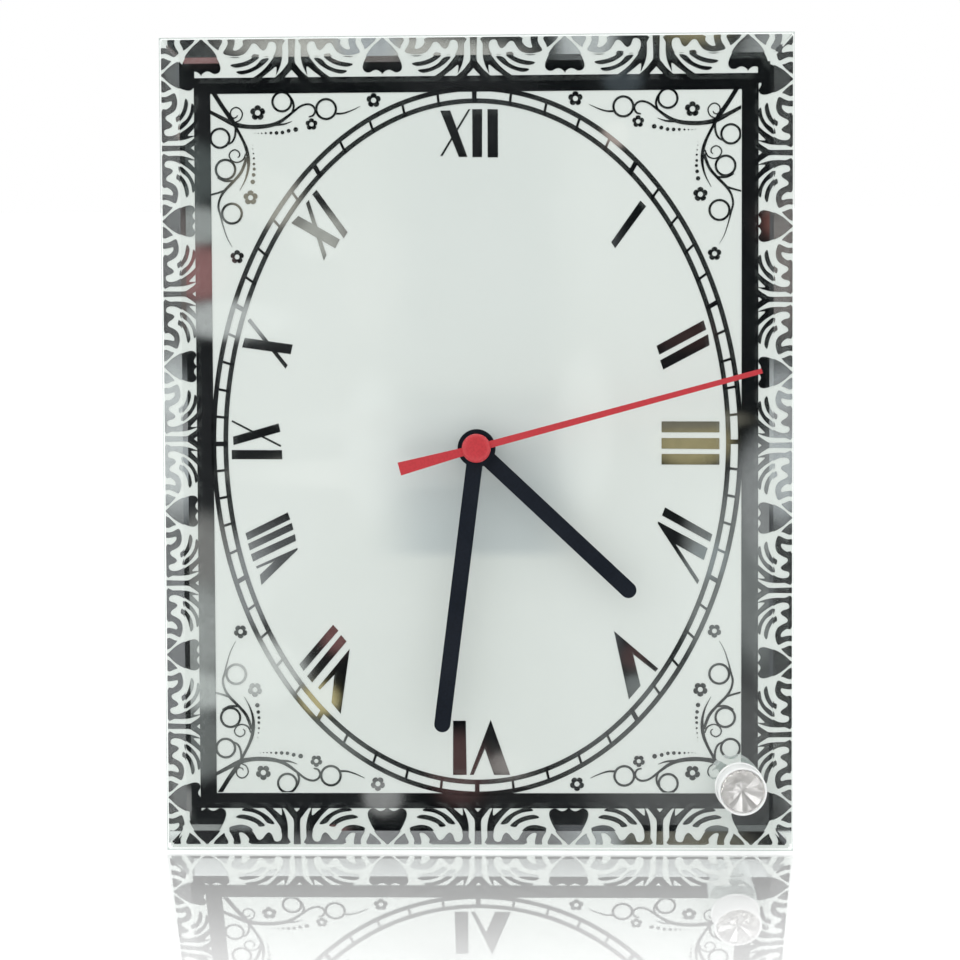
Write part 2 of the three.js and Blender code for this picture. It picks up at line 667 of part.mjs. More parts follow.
const trainPlate = without(prism(TRAIN_PLATE_OUTLINE, TRAIN_PLATE_LEVEL), [
  shaftAxis, thirdAxis, intermediateAxis, rotorAxis,
].map((axis) => rod(ARBOR_RADIUS + RUNNING_GAP, [CASE_FLOOR, CASE_REAR], ARBOR_SEGMENTS, axis)));
const plateTop = (TRAIN_PLATE_LEVEL[0] + TRAIN_PLATE_LEVEL[1]) / 2;
node(movement, 'train_plate', joined([
  trainPlate,
  ...STATOR_POSTS.map((place) => rod(POST_RADIUS, [plateTop, statorSeat], POST_SEGMENTS, place)),
]), 'whitePlastic');

// Cell and the two sprung strips that touch its ends
const cellHalf = CELL_LENGTH / 2;
const cellShoulder = cellHalf - CELL_NUB_LENGTH;
const cellGeometry = new THREE.LatheGeometry([
  [0, -cellHalf], [CELL_RADIUS - CELL_EDGE, -cellHalf], [CELL_RADIUS, CELL_EDGE - cellHalf],
  [CELL_RADIUS, cellShoulder - CELL_EDGE], [CELL_RADIUS - CELL_EDGE, cellShoulder],
  [CELL_NUB_RADIUS, cellShoulder], [CELL_NUB_RADIUS, cellHalf], [0, cellHalf],
].map(([radius, along]) => new THREE.Vector2(radius, along)), CELL_SEGMENTS);
cellGeometry.rotateZ(-Math.PI / 2);
cellGeometry.translate(0, CELL_AXIS_Y, cellAxisZ);
node(movement, 'battery_cell', solidOf(cellGeometry), 'cellSleeve');

const contactLevel = [CONTACT_FRONT, CONTACT_BACK];
const stripBack = caseInside - CONTACT_WALL_GAP;
const stripFace = stripBack - CONTACT_THICKNESS;
const leafFace = cellHalf + CONTACT_CELL_GAP;
const leafBack = leafFace + CONTACT_THICKNESS;
const leafFold = CONTACT_LOW + CONTACT_THICKNESS;
const positiveStrip = [
  [stripFace, CONTACT_LOW], [stripBack, CONTACT_LOW], [stripBack, CONTACT_TOP], [stripFace, CONTACT_TOP],
];
const dimpleRange = [cellAxisZ - CELL_NUB_RADIUS, cellAxisZ + CELL_NUB_RADIUS];
const positiveDimple = rectangle(leafFace, stripBack, ...dimpleRange);
node(movement, 'contact_positive', joined([
  prism(positiveStrip, contactLevel),
  prism(positiveDimple, contactLevel),
]), 'brassSheet');
const negativeLeaf = [
  [-stripBack, CONTACT_TOP], [-stripBack, CONTACT_LOW], [-stripFace, CONTACT_LOW], [-leafFace, cellAxisZ],
  [-leafBack, cellAxisZ], [-stripFace, leafFold], [-stripFace, CONTACT_TOP],
];
node(movement, 'contact_negative', prism(negativeLeaf, contactLevel), 'brassSheet');

// Circuit board, crystal can and chip
node(movement, 'circuit_board', block([BOARD_LEFT, BOARD_RIGHT], BOARD_LEVEL, [BOARD_LOW, BOARD_HIGH]),
  'boardGreen');
const canGeometry = new THREE.CylinderGeometry(CAN_RADIUS, CAN_RADIUS, CAN_HIGH - CAN_LOW, ARBOR_SEGMENTS);
canGeometry.rotateX(Math.PI / 2);
canGeometry.translate(CAN_X, boardSeat - CAN_RADIUS, (CAN_LOW + CAN_HIGH) / 2);
node(movement, 'quartz_can', solidOf(canGeometry), 'steelSheet');
const chipFoot = BOARD_LEVEL[1] + SEAT_GAP;
node(movement, 'chip', turned([
  [0, chipFoot], [CHIP_RADIUS, chipFoot], [CHIP_RADIUS, chipFoot + CHIP_SHOULDER],
  [CHIP_RADIUS * CHIP_CROWN, chipFoot + CHIP_HEIGHT], [0, chipFoot + CHIP_HEIGHT],
], HOLE_SEGMENTS, [CHIP_X, CHIP_Z]), 'blackPlastic');

// Stepping motor: stator, core, bobbin, winding and rotor
node(movement, 'stator_plate', without(prism(STATOR_OUTLINE, STATOR_LEVEL), [
  rod(MAGNET_RADIUS + STATOR_GAP, [CASE_FLOOR, CASE_REAR], TUBE_SEGMENTS, rotorAxis),
]), 'steelSheet');
const coreBack = coreFront + CORE_THICKNESS;
node(movement, 'coil_core', block([CORE_X - CORE_HALF_WIDTH, CORE_X + CORE_HALF_WIDTH],
  [coreFront, coreBack], [CORE_LOW, CORE_HIGH]), 'steelSheet');
function upright(profile) {
  const geometry = new THREE.LatheGeometry(profile.map(([radius, z]) => new THREE.Vector2(radius, z)),
    COIL_SEGMENTS);
  geometry.rotateX(Math.PI / 2);
  geometry.translate(CORE_X, coreY, 0);
  return solidOf(geometry);
}
const lowFlange = BOBBIN_LOW + FLANGE_THICKNESS;
const highFlange = BOBBIN_HIGH - FLANGE_THICKNESS;
const bobbin = upright([
  [0, BOBBIN_LOW], [FLANGE_RADIUS, BOBBIN_LOW], [FLANGE_RADIUS, lowFlange], [BOBBIN_RADIUS, lowFlange],
  [BOBBIN_RADIUS, highFlange], [FLANGE_RADIUS, highFlange], [FLANGE_RADIUS, BOBBIN_HIGH], [0, BOBBIN_HIGH],
]);
const slotHalf = CORE_HALF_WIDTH + SEAT_GAP;
node(movement, 'coil_bobbin', without(bobbin, [
  block([CORE_X - slotHalf, CORE_X + slotHalf], [coreFront - SEAT_GAP, coreBack + SEAT_GAP],
    [CORE_LOW, CORE_HIGH]),
]), 'whitePlastic');
const windingBore = BOBBIN_RADIUS + SEAT_GAP;
const windingLow = lowFlange + SEAT_GAP;
const windingHigh = highFlange - SEAT_GAP;
node(movement, 'coil_winding', upright([
  [windingBore, windingLow], [WINDING_RADIUS, windingLow], [WINDING_RADIUS, windingHigh],
  [windingBore, windingHigh], [windingBore, windingLow],
]), 'copperWire');

function arbor(front, place) {
  return turned([
    [0, front], [ARBOR_RADIUS, front], [ARBOR_RADIUS, PIVOT_STEP], [PIVOT_RADIUS, PIVOT_STEP],
    [PIVOT_RADIUS, PIVOT_BACK], [0, PIVOT_BACK],
  ], ARBOR_SEGMENTS, place);
}
const rotorTooth = gear(ROTOR_PINION_TEETH, ROTOR_DISTANCE, INTERMEDIATE_WHEEL_TEETH,
  radians(ROTOR_DIRECTION) + Math.PI);
node(movement, 'rotor', joined([
  arbor(PLATE_PIVOT_FRONT, rotorAxis),
  rod(MAGNET_RADIUS, ROTOR_MAGNET_LEVEL, TUBE_SEGMENTS, rotorAxis),
  prism(rotorTooth, ROTOR_PINION_LEVEL, rotorAxis),
]), 'whitePlastic');

// Going train
const intermediateWheel = gear(INTERMEDIATE_WHEEL_TEETH, ROTOR_DISTANCE, ROTOR_PINION_TEETH,
  gapTowards(ROTOR_DIRECTION, INTERMEDIATE_WHEEL_TEETH));
const intermediatePinion = gear(INTERMEDIATE_PINION_TEETH, INTERMEDIATE_DISTANCE, SECOND_WHEEL_TEETH,
  radians(INTERMEDIATE_DIRECTION) + Math.PI);
node(movement, 'intermediate_wheel', joined([
  arbor(PLATE_PIVOT_FRONT, intermediateAxis),
  prism(intermediateWheel, INTERMEDIATE_WHEEL_LEVEL, intermediateAxis),
  prism(intermediatePinion, INTERMEDIATE_PINION_LEVEL, intermediateAxis),
]), 'whitePlastic');

const secondWheel = gear(SECOND_WHEEL_TEETH, INTERMEDIATE_DISTANCE, INTERMEDIATE_PINION_TEETH,
  gapTowards(INTERMEDIATE_DIRECTION, SECOND_WHEEL_TEETH));
const secondPinion = gear(SECOND_PINION_TEETH, THIRD_DISTANCE, THIRD_WHEEL_TEETH, radians(THIRD_DIRECTION));
node(movement, 'second_wheel', joined([
  turned([
    [0, SECOND_ARBOR_FRONT], [SECOND_ARBOR_RADIUS, SECOND_ARBOR_FRONT],
    [SECOND_ARBOR_RADIUS, SECOND_HUB_FRONT], [SECOND_HUB_RADIUS, SECOND_HUB_FRONT],
    [SECOND_HUB_RADIUS, SECOND_HUB_BACK], [PIVOT_RADIUS, SECOND_HUB_BACK],
    [PIVOT_RADIUS, PIVOT_BACK], [0, PIVOT_BACK],
  ], ARBOR_SEGMENTS),
  prism(secondWheel, SECOND_WHEEL_LEVEL),
  prism(secondPinion, SECOND_PINION_LEVEL),
]), 'whitePlastic');

const thirdWheel = gear(THIRD_WHEEL_TEETH, THIRD_DISTANCE, SECOND_PINION_TEETH,
  gapTowards(THIRD_DIRECTION, THIRD_WHEEL_TEETH) + Math.PI);
const thirdPinion = gear(THIRD_PINION_TEETH, THIRD_DISTANCE, CENTRE_WHEEL_TEETH,
  radians(THIRD_DIRECTION) + Math.PI);
node(movement, 'third_wheel', joined([
  arbor(THIRD_FRONT, thirdAxis),
  prism(thirdWheel, THIRD_WHEEL_LEVEL, thirdAxis),
  prism(thirdPinion, THIRD_PINION_LEVEL, thirdAxis),
]), 'whitePlastic');

const centreWheel = gear(CENTRE_WHEEL_TEETH, THIRD_DISTANCE, THIRD_PINION_TEETH,
  gapTowards(THIRD_DIRECTION, CENTRE_WHEEL_TEETH));
node(movement, 'centre_wheel', without(prism(centreWheel, CENTRE_WHEEL_LEVEL), [
  rod(CLUTCH_RADIUS + RUNNING_GAP, [CASE_FLOOR, CASE_REAR], TUBE_SEGMENTS, shaftAxis),
]), 'whitePlastic');

// Motion work: minute arbor with its cannon pinion, motion wheel, hour wheel and setting knob
const cannon = gear(CANNON_TEETH, MOTION_DISTANCE, MOTION_WHEEL_TEETH, radians(MOTION_DIRECTION));
const minuteTube = turned([
  [0, MINUTE_TUBE_FRONT], [MINUTE_TUBE_RADIUS, MINUTE_TUBE_FRONT], [MINUTE_TUBE_RADIUS, CANNON_LEVEL[1]],
  [CLUTCH_RADIUS, CANNON_LEVEL[1]], [CLUTCH_RADIUS, CLUTCH_BACK], [0, CLUTCH_BACK],
], TUBE_SEGMENTS);
const throughTubes = [SECOND_ARBOR_FRONT - CUT_MARGIN, CASE_REAR];
node(movement, 'minute_arbor', without(minuteTube.add(prism(cannon, CANNON_LEVEL)), [
  rod(MINUTE_BORE, throughTubes, HOLE_SEGMENTS, shaftAxis),
]), 'brassSheet');

const motionWheel = gear(MOTION_WHEEL_TEETH, MOTION_DISTANCE, CANNON_TEETH,
  gapTowards(MOTION_DIRECTION, MOTION_WHEEL_TEETH) + Math.PI);
const motionPinion = gear(MOTION_PINION_TEETH, MOTION_DISTANCE, HOUR_WHEEL_TEETH,
  radians(MOTION_DIRECTION) + Math.PI);
const motionHub = [MOTION_PINION_LEVEL[1], MOTION_WHEEL_LEVEL[0]];
const motionBore = MOTION_PIN_RADIUS + RUNNING_GAP;
const hubOverlap = (motionHub[1] - motionHub[0]) / 2;
node(movement, 'motion_wheel', without(joined([
  prism(motionPinion, MOTION_PINION_LEVEL, motionAxis),
  rod(motionBore + RUNNING_GAP, [motionHub[0] - hubOverlap, motionHub[1] + hubOverlap],
    HOLE_SEGMENTS, motionAxis),
  prism(motionWheel, MOTION_WHEEL_LEVEL, motionAxis),
]), [rod(motionBore, [CASE_FRONT, CASE_REAR], ARBOR_SEGMENTS, motionAxis)]), 'whitePlastic');

const hourWheel = gear(HOUR_WHEEL_TEETH, MOTION_DISTANCE, MOTION_PINION_TEETH,
  gapTowards(MOTION_DIRECTION, HOUR_WHEEL_TEETH));
node(movement, 'hour_wheel', without(joined([
  prism(hourWheel, HOUR_WHEEL_LEVEL),
  rod(HOUR_TUBE_RADIUS, [HOUR_TUBE_FRONT, HOUR_WHEEL_LEVEL[1]], BUSH_SEGMENTS, shaftAxis),
]), [rod(HOUR_BORE, throughTubes, TUBE_SEGMENTS, shaftAxis)]), 'whitePlastic');

const knobFacing = radians(MOTION_DIRECTION) + Math.PI;
const knobPinion = gear(KNOB_TEETH, MOTION_DISTANCE, MOTION_WHEEL_TEETH, knobFacing);
const knobRim = Array.from({ length: KNOB_FLUTES * 2 }, (_, index) => {
  const depth = index % 2 === 0 ? 0 : KNOB_FLUTE_DEPTH;
  return polar(KNOB_RADIUS - depth, index * Math.PI / KNOB_FLUTES);
});
const knobCap = turned([
  [0, KNOB_BACK - KNOB_CHAMFER], [KNOB_RADIUS - KNOB_FLUTE_DEPTH, KNOB_BACK - KNOB_CHAMFER],
  [KNOB_RADIUS - KNOB_FLUTE_DEPTH - KNOB_CHAMFER, KNOB_BACK], [0, KNOB_BACK],
], KNOB_FLUTES, knobAxis);
node(movement, 'setting_knob', without(joined([
  prism(knobPinion, KNOB_PINION_LEVEL, knobAxis),
  rod(KNOB_SHAFT_RADIUS, [KNOB_PINION_LEVEL[0], KNOB_FRONT + KNOB_CHAMFER], HOLE_SEGMENTS, knobAxis),
  prism(knobRim, [KNOB_FRONT, KNOB_BACK - KNOB_CHAMFER], knobAxis),
  knobCap,
]), [rod(MOTION_PIN_RADIUS + RUNNING_GAP, [CASE_FLOOR, KNOB_BORE_BACK], ARBOR_SEGMENTS, knobAxis)]),
'blackPlastic');

// Seals and fixings on the bush
node(movement, 'case_gasket', sleeve(BUSH_RADIUS + FIT_GAP, GASKET_RADIUS, [GASKET_FRONT, GASKET_BACK],
  BUSH_SEGMENTS, shaftAxis), 'rubberBlack');
const washerBack = glassFront - FILM_GAP;
node(movement, 'nut_washer', sleeve(BUSH_RADIUS + FIT_GAP, WASHER_RADIUS,
  [washerBack - WASHER_THICKNESS, washerBack], BUSH_SEGMENTS, shaftAxis), 'steelSheet');
const nutBlank = prism(regular(NUT_ACROSS_FLATS / Math.sqrt(3), 6), [NUT_FRONT, NUT_BACK]);
node(movement, 'fixing_nut', without(nutBlank, [
  rod(BUSH_RADIUS + FIT_GAP, [NUT_FRONT - CUT_MARGIN, NUT_BACK + CUT_MARGIN], BUSH_SEGMENTS, shaftAxis),
]), 'brassSheet');

// Hands, drawn pointing up and turned clockwise to their places
function aimed(points, angle) {
  const [cosine, sine] = polar(1, radians(angle));
  return points.map(([across, up]) => [across * cosine + up * sine, up * cosine - across * sine]);
}
function baton(length) {
  const half = BLADE_WIDTH / 2;
  const points = [[-half, 0], [half, 0]];
  for (let step = 0; step <= HAND_END_SEGMENTS; step += 1) {
    const [across, up] = polar(half, step * Math.PI / HAND_END_SEGMENTS);
    points.push([across, length - half + up]);
  }
  return points;
}
function batonHand(length, angle, level, hub, bore) {
  const through = [level[0] - CUT_MARGIN, level[1] + CUT_MARGIN];
  return without(joined([
    prism(aimed(baton(length), angle), level),
    rod(hub, level, STUD_SEGMENTS, shaftAxis),
  ]), [rod(bore + FIT_GAP, through, BUSH_SEGMENTS, shaftAxis)]);
}
node(movement, 'hour_hand', batonHand(HOUR_LENGTH, HOUR_ANGLE, HOUR_HAND_LEVEL, HUB_RADIUS,
  HOUR_TUBE_RADIUS), 'handBlack');
node(movement, 'minute_hand', batonHand(MINUTE_LENGTH, MINUTE_ANGLE, MINUTE_HAND_LEVEL, MINUTE_HUB_RADIUS,
  MINUTE_TUBE_RADIUS), 'handBlack');
const needle = [
  [-NEEDLE_TAIL_WIDTH / 2, -SECOND_TAIL], [NEEDLE_TAIL_WIDTH / 2, -SECOND_TAIL], [NEEDLE_ROOT_WIDTH / 2, 0],
  [NEEDLE_TIP_WIDTH / 2, SECOND_LENGTH], [-NEEDLE_TIP_WIDTH / 2, SECOND_LENGTH],
  [-NEEDLE_ROOT_WIDTH / 2, 0],
];
const cap = turned([
  [0, CAP_FRONT], [CAP_CROWN_RADIUS, CAP_FRONT], [CAP_RADIUS, CAP_SHOULDER],
  [CAP_RADIUS, SECOND_HAND_LEVEL[1]],
  [COLLET_RADIUS, SECOND_HAND_LEVEL[1]], [COLLET_RADIUS, COLLET_BACK], [0, COLLET_BACK],
], STUD_SEGMENTS);
node(movement, 'second_hand', without(joined([
  prism(aimed(needle, SECOND_ANGLE), SECOND_HAND_LEVEL),
  cap,
]), [rod(SECOND_ARBOR_RADIUS + FIT_GAP, [SECOND_ARBOR_FRONT - FIT_GAP, 0], ARBOR_SEGMENTS, shaftAxis)]),
'handRed');

// Stud through the glass, with the leg screwed on behind
const frontWasherLevel = [washerBack - STUD_WASHER_THICKNESS, washerBack];
node(panel, 'stud_front_washer', sleeve(SHANK_RADIUS + FIT_GAP, STUD_WASHER_RADIUS, frontWasherLevel,
  STUD_SEGMENTS, studPlace), 'clearPlastic');
const cupBack = frontWasherLevel[0] - FIT_GAP;
const cupFloor = cupBack - CUP_FLOOR;
const cupFront = cupBack - CUP_DEPTH;
node(panel, 'stud_cup', turned([
  [0, cupFloor], [CUP_INSIDE_RADIUS, cupFloor], [CUP_INSIDE_RADIUS, cupFront], [CUP_RADIUS, cupFront],
  [CUP_RADIUS, cupBack], [SHANK_RADIUS, cupBack], [SHANK_RADIUS, SHANK_BACK], [0, SHANK_BACK],
], STUD_SEGMENTS, studPlace), 'clearPlastic');
const crystalBack = cupFloor - FIT_GAP;
const crystalGirdle = crystalBack - CRYSTAL_GIRDLE;
const crystalCrown = crystalGirdle - CRYSTAL_CROWN;
const crystalPoint = crystalCrown - CRYSTAL_POINT;
function crystalRing(radius, y) {
  return regular(radius, CRYSTAL_SIDES).map(([x, z]) => [studX + x, y, STUD_HEIGHT + z]);
}
node(panel, 'stud_crystal', lofted([
  crystalRing(CRYSTAL_RADIUS, crystalBack),
  crystalRing(CRYSTAL_RADIUS, crystalGirdle),
  crystalRing(CRYSTAL_CROWN_RADIUS, crystalCrown),
  crystalRing(CRYSTAL_POINT_RADIUS, crystalPoint),
]), 'crystal');
node(panel, 'stud_rear_washer', sleeve(SHANK_RADIUS + FIT_GAP, REAR_WASHER_RADIUS,
  [coatFace, coatFace + STUD_WASHER_THICKNESS], STUD_SEGMENTS, studPlace), 'clearPlastic');
const legBore = SHANK_RADIUS + FIT_GAP;
const legBoreFloor = legFront + LEG_BORE_DEPTH;
node(panel, 'leg_rod', turned([
  [legBore, legFront], [LEG_RADIUS - LEG_CHAMFER, legFront], [LEG_RADIUS, legFront + LEG_CHAMFER],
  [LEG_RADIUS, legBack - LEG_CHAMFER], [LEG_RADIUS - LEG_CHAMFER, legBack], [0, legBack], [0, legBoreFloor],
  [legBore, legBoreFloor], [legBore, legFront],
], STUD_SEGMENTS, studPlace), 'chrome');

// Lean the panel back on its leg and stand it over the middle of its footprint
panel.rotation.x = -lean;
group.updateMatrixWorld(true);
const bounds = new THREE.Box3().setFromObject(group, true);
group.position.y = -(bounds.min.y + bounds.max.y) / 2;
group.position.z = -bounds.min.z;

export default group;
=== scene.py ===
import json
import math

import bmesh
import bpy
from mathutils import Matrix, Vector, geometry


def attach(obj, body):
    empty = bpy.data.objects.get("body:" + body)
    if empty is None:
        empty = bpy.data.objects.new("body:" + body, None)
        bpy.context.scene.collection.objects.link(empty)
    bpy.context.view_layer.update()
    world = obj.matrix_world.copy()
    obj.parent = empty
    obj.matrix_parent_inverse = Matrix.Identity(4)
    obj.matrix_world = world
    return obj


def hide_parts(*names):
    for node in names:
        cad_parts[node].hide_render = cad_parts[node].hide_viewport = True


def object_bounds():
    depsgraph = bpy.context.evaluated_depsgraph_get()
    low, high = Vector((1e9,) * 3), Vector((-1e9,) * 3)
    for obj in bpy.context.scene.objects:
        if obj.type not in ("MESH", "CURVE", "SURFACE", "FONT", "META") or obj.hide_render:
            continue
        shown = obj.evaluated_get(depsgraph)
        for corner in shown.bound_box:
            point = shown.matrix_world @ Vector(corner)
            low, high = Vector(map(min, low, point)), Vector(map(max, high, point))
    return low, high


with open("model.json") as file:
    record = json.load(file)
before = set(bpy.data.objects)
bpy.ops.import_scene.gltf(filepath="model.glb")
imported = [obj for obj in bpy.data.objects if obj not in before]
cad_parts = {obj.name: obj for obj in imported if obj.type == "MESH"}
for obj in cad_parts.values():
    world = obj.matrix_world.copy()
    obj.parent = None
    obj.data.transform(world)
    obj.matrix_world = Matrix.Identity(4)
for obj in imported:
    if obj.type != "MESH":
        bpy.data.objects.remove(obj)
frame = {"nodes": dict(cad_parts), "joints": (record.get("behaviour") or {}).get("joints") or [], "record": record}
CAD_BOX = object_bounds()
scene = bpy.context.scene

MM = 0.001

# Sizes of the clock in millimetres, in the panel's own frame:
# X to the viewer's right, Y backwards from the glass's rear face, Z up from its lower edge
GLASS_WIDTH = 178.0
GLASS_HEIGHT = 230.0
SHAFT_HEIGHT = 114.4
FILM_LEVEL = (0.05, 0.15)
FILM_INSET = 0.4
BAND_LEFT = (-79.65, -74.97)
BAND_RIGHT = (74.6, 79.3)
BAND_LOW = (11.6, 15.95)
BAND_HIGH = (214.6, 219.1)
RING_HALF_WIDTH = 72.9
RING_HALF_HEIGHT = 98.15
RING_CENTRE = (-0.29, 115.6)
RING_LINE = 1.35
RING_SPACING = 3.4
MINUTE_TICK = 0.7
HOUR_TICK = 1.3
TICK_CENTRE = (-0.4, 115.85)
STUD_PLACE = (73.6, 18.7)

spin = next(joint for joint in frame["joints"] if joint["name"] == "minute_spin")
BACK = Vector(spin["axis"]).normalized()
UP = Vector((0.0, -BACK.z, BACK.y))
ORIGIN = Vector(spin["pos_m"]) - UP * SHAFT_HEIGHT * MM
PANEL = Matrix((
    (1.0, BACK.x, UP.x, ORIGIN.x),
    (0.0, BACK.y, UP.y, ORIGIN.y),
    (0.0, BACK.z, UP.z, ORIGIN.z),
    (0.0, 0.0, 0.0, 1.0),
))


# Node trees

NOISE_MIDDLE = (0.3, 0.7)
BROAD_GRAIN = 24.0


def tree_of(block):
    """The emptied node tree of a material or world."""
    block.use_nodes = True
    block.node_tree.nodes.clear()
    return block.node_tree


def add(tree, kind, inputs=None, **settings):
    """A new node with its settings, and with each input linked or set to a value."""
    made = tree.nodes.new(kind)
    for key, value in settings.items():
        setattr(made, key, value)
    for key, value in (inputs or {}).items():
        if isinstance(value, bpy.types.NodeSocket):
            tree.links.new(value, made.inputs[key])
        else:
            made.inputs[key].default_value = value
    return made


def math_node(tree, operation, first, second=0.0):
    return add(tree, "ShaderNodeMath", {0: first, 1: second}, operation=operation).outputs[0]


def mix_colour(tree, share, first, second):
    """The first colour where share is nothing and the second where it is one."""
    return add(tree, "ShaderNodeMix", {0: share, 6: first, 7: second}, data_type="RGBA").outputs[2]


def stepped(tree, value, low, high, to_low=0.0, to_high=1.0):
    """A smooth step from to_low to to_high while value goes from low to high."""
    made = add(tree, "ShaderNodeMapRange", {
        "Value": value, "From Min": low, "From Max": high, "To Min": to_low, "To Max": to_high,
    }, interpolation_type="SMOOTHSTEP")
    return made.outputs["Result"]


def noise(tree, where, scale, detail=3.0, roughness=0.55):
    made = add(tree, "ShaderNodeTexNoise", {
        "Vector": where, "Scale": scale, "Detail": detail, "Roughness": roughness,
    })
    return made.outputs["Fac"]


def placed(tree):
    """Object coordinates, which are the shared frame in metres."""
    return add(tree, "ShaderNodeTexCoord").outputs["Object"]


def panel_axes(tree, where):
    """Object position as millimetres in the panel's frame."""
    offset = add(tree, "ShaderNodeVectorMath", {0: where, 1: ORIGIN}, operation="SUBTRACT").outputs[0]
    axes = []
    for axis in (Vector((1, 0, 0)), BACK, UP):
        dot = add(tree, "ShaderNodeVectorMath", {0: offset, 1: axis / MM}, operation="DOT_PRODUCT")
        axes.append(dot.outputs["Value"])
    return axes


def grey(value):
    return (value, value, value, 1.0)


def bumped(tree, height, strength, distance):
    made = add(tree, "ShaderNodeBump", {"Height": height, "Strength": strength, "Distance": distance})
    return made.outputs["Normal"]


def surface(name, colour, rough, grain=1500.0, spread=0.12, rough_spread=0.08, bump=0.0, metallic=0.0,
            stretch=None, coat=0.0, specular=0.5):
    """A Principled finish whose colour, roughness and relief vary with a grain of its own."""
    made = bpy.data.materials.new(name)
    tree = tree_of(made)
    where = placed(tree)
    if stretch:
        where = add(tree, "ShaderNodeMapping", {"Vector": where, "Scale": stretch}).outputs[0]
    fine = noise(tree, where, grain, 4.0)
    broad = noise(tree, where, grain / BROAD_GRAIN, 2.0)
    dark = tuple(channel * (1.0 - spread) for channel in colour) + (1.0,)
    light = tuple(min(channel * (1.0 + spread), 1.0) for channel in colour) + (1.0,)
    base = mix_colour(tree, math_node(tree, "MULTIPLY", fine, broad), dark, light)
    base = mix_colour(tree, stepped(tree, fine, *NOISE_MIDDLE), base, light)
    roughness = stepped(tree, broad, *NOISE_MIDDLE, rough - rough_spread, rough + rough_spread)
    inputs = {"Base Color": base, "Roughness": roughness, "Metallic": metallic, "Coat Weight": coat,
              "Coat Roughness": 0.08, "Specular IOR Level": specular}
    if bump:
        inputs["Normal"] = bumped(tree, fine, bump, 0.04 * MM)
    shader = add(tree, "ShaderNodeBsdfPrincipled", inputs)
    add(tree, "ShaderNodeOutputMaterial", {"Surface": shader.outputs[0]})
    return made


RIM_INNER = 0.06
RIM_OUTER = 0.02


def rim_of(tree, where):
    """One on the panel's ground rim, nothing on its polished faces."""
    x, _, z = panel_axes(tree, where)
    across = math_node(tree, "ABSOLUTE", x)
    sides = stepped(tree, across, GLASS_WIDTH / 2 - RIM_INNER, GLASS_WIDTH / 2 - RIM_OUTER)
    top = stepped(tree, z, GLASS_HEIGHT - RIM_INNER, GLASS_HEIGHT - RIM_OUTER)
    foot = stepped(tree, z, RIM_INNER, RIM_OUTER)
    return math_node(tree, "MAXIMUM", math_node(tree, "MAXIMUM", sides, top), foot)


def clear_surface(name, tint, ior, haze, haze_colour, ground=0.0):
    """Clear glass or plastic: refracts what is seen, and lets lamps and soft light straight through."""
    made = bpy.data.materials.new(name)
    tree = tree_of(made)
    where = placed(tree)
    cloud = noise(tree, where, 90.0, 5.0, 0.65)
    glass = add(tree, "ShaderNodeBsdfGlass", {"Color": tint, "Roughness": 0.0, "IOR": ior})
    film = add(tree, "ShaderNodeBsdfPrincipled", {"Base Color": haze_colour, "Roughness": 0.35})
    share = stepped(tree, cloud, 0.35, 0.75, haze * 0.3, haze)
    if ground:
        share = math_node(tree, "MAXIMUM", share, math_node(tree, "MULTIPLY", rim_of(tree, where), ground))
    seen = add(tree, "ShaderNodeMixShader", {0: share, 1: glass.outputs[0], 2: film.outputs[0]})
    open_way = add(tree, "ShaderNodeBsdfTransparent", {"Color": tint})
    path = add(tree, "ShaderNodeLightPath")
    lit = math_node(tree, "MAXIMUM", path.outputs["Is Shadow Ray"], path.outputs["Is Diffuse Ray"])
    both = add(tree, "ShaderNodeMixShader", {0: lit, 1: seen.outputs[0], 2: open_way.outputs[0]})
    add(tree, "ShaderNodeOutputMaterial", {"Surface": both.outputs[0]})
    return made


# The movement's shadow on the coat: fades across from its middle, and up or down from the shaft
SHADOW_MIDDLE = 0.5
SHADOW_SIDES = (12.0, 34.0)
SHADOW_ABOVE = (SHAFT_HEIGHT - 16.0, SHAFT_HEIGHT + 32.0)
SHADOW_BELOW = (SHAFT_HEIGHT - 33.5, SHAFT_HEIGHT - 27.5)
SHADOW_UNDER = (SHAFT_HEIGHT - 48.0, SHAFT_HEIGHT - 26.0)
SHADOW_SHARE = 0.5
UNDER_SHADOW_SHARE = 0.16


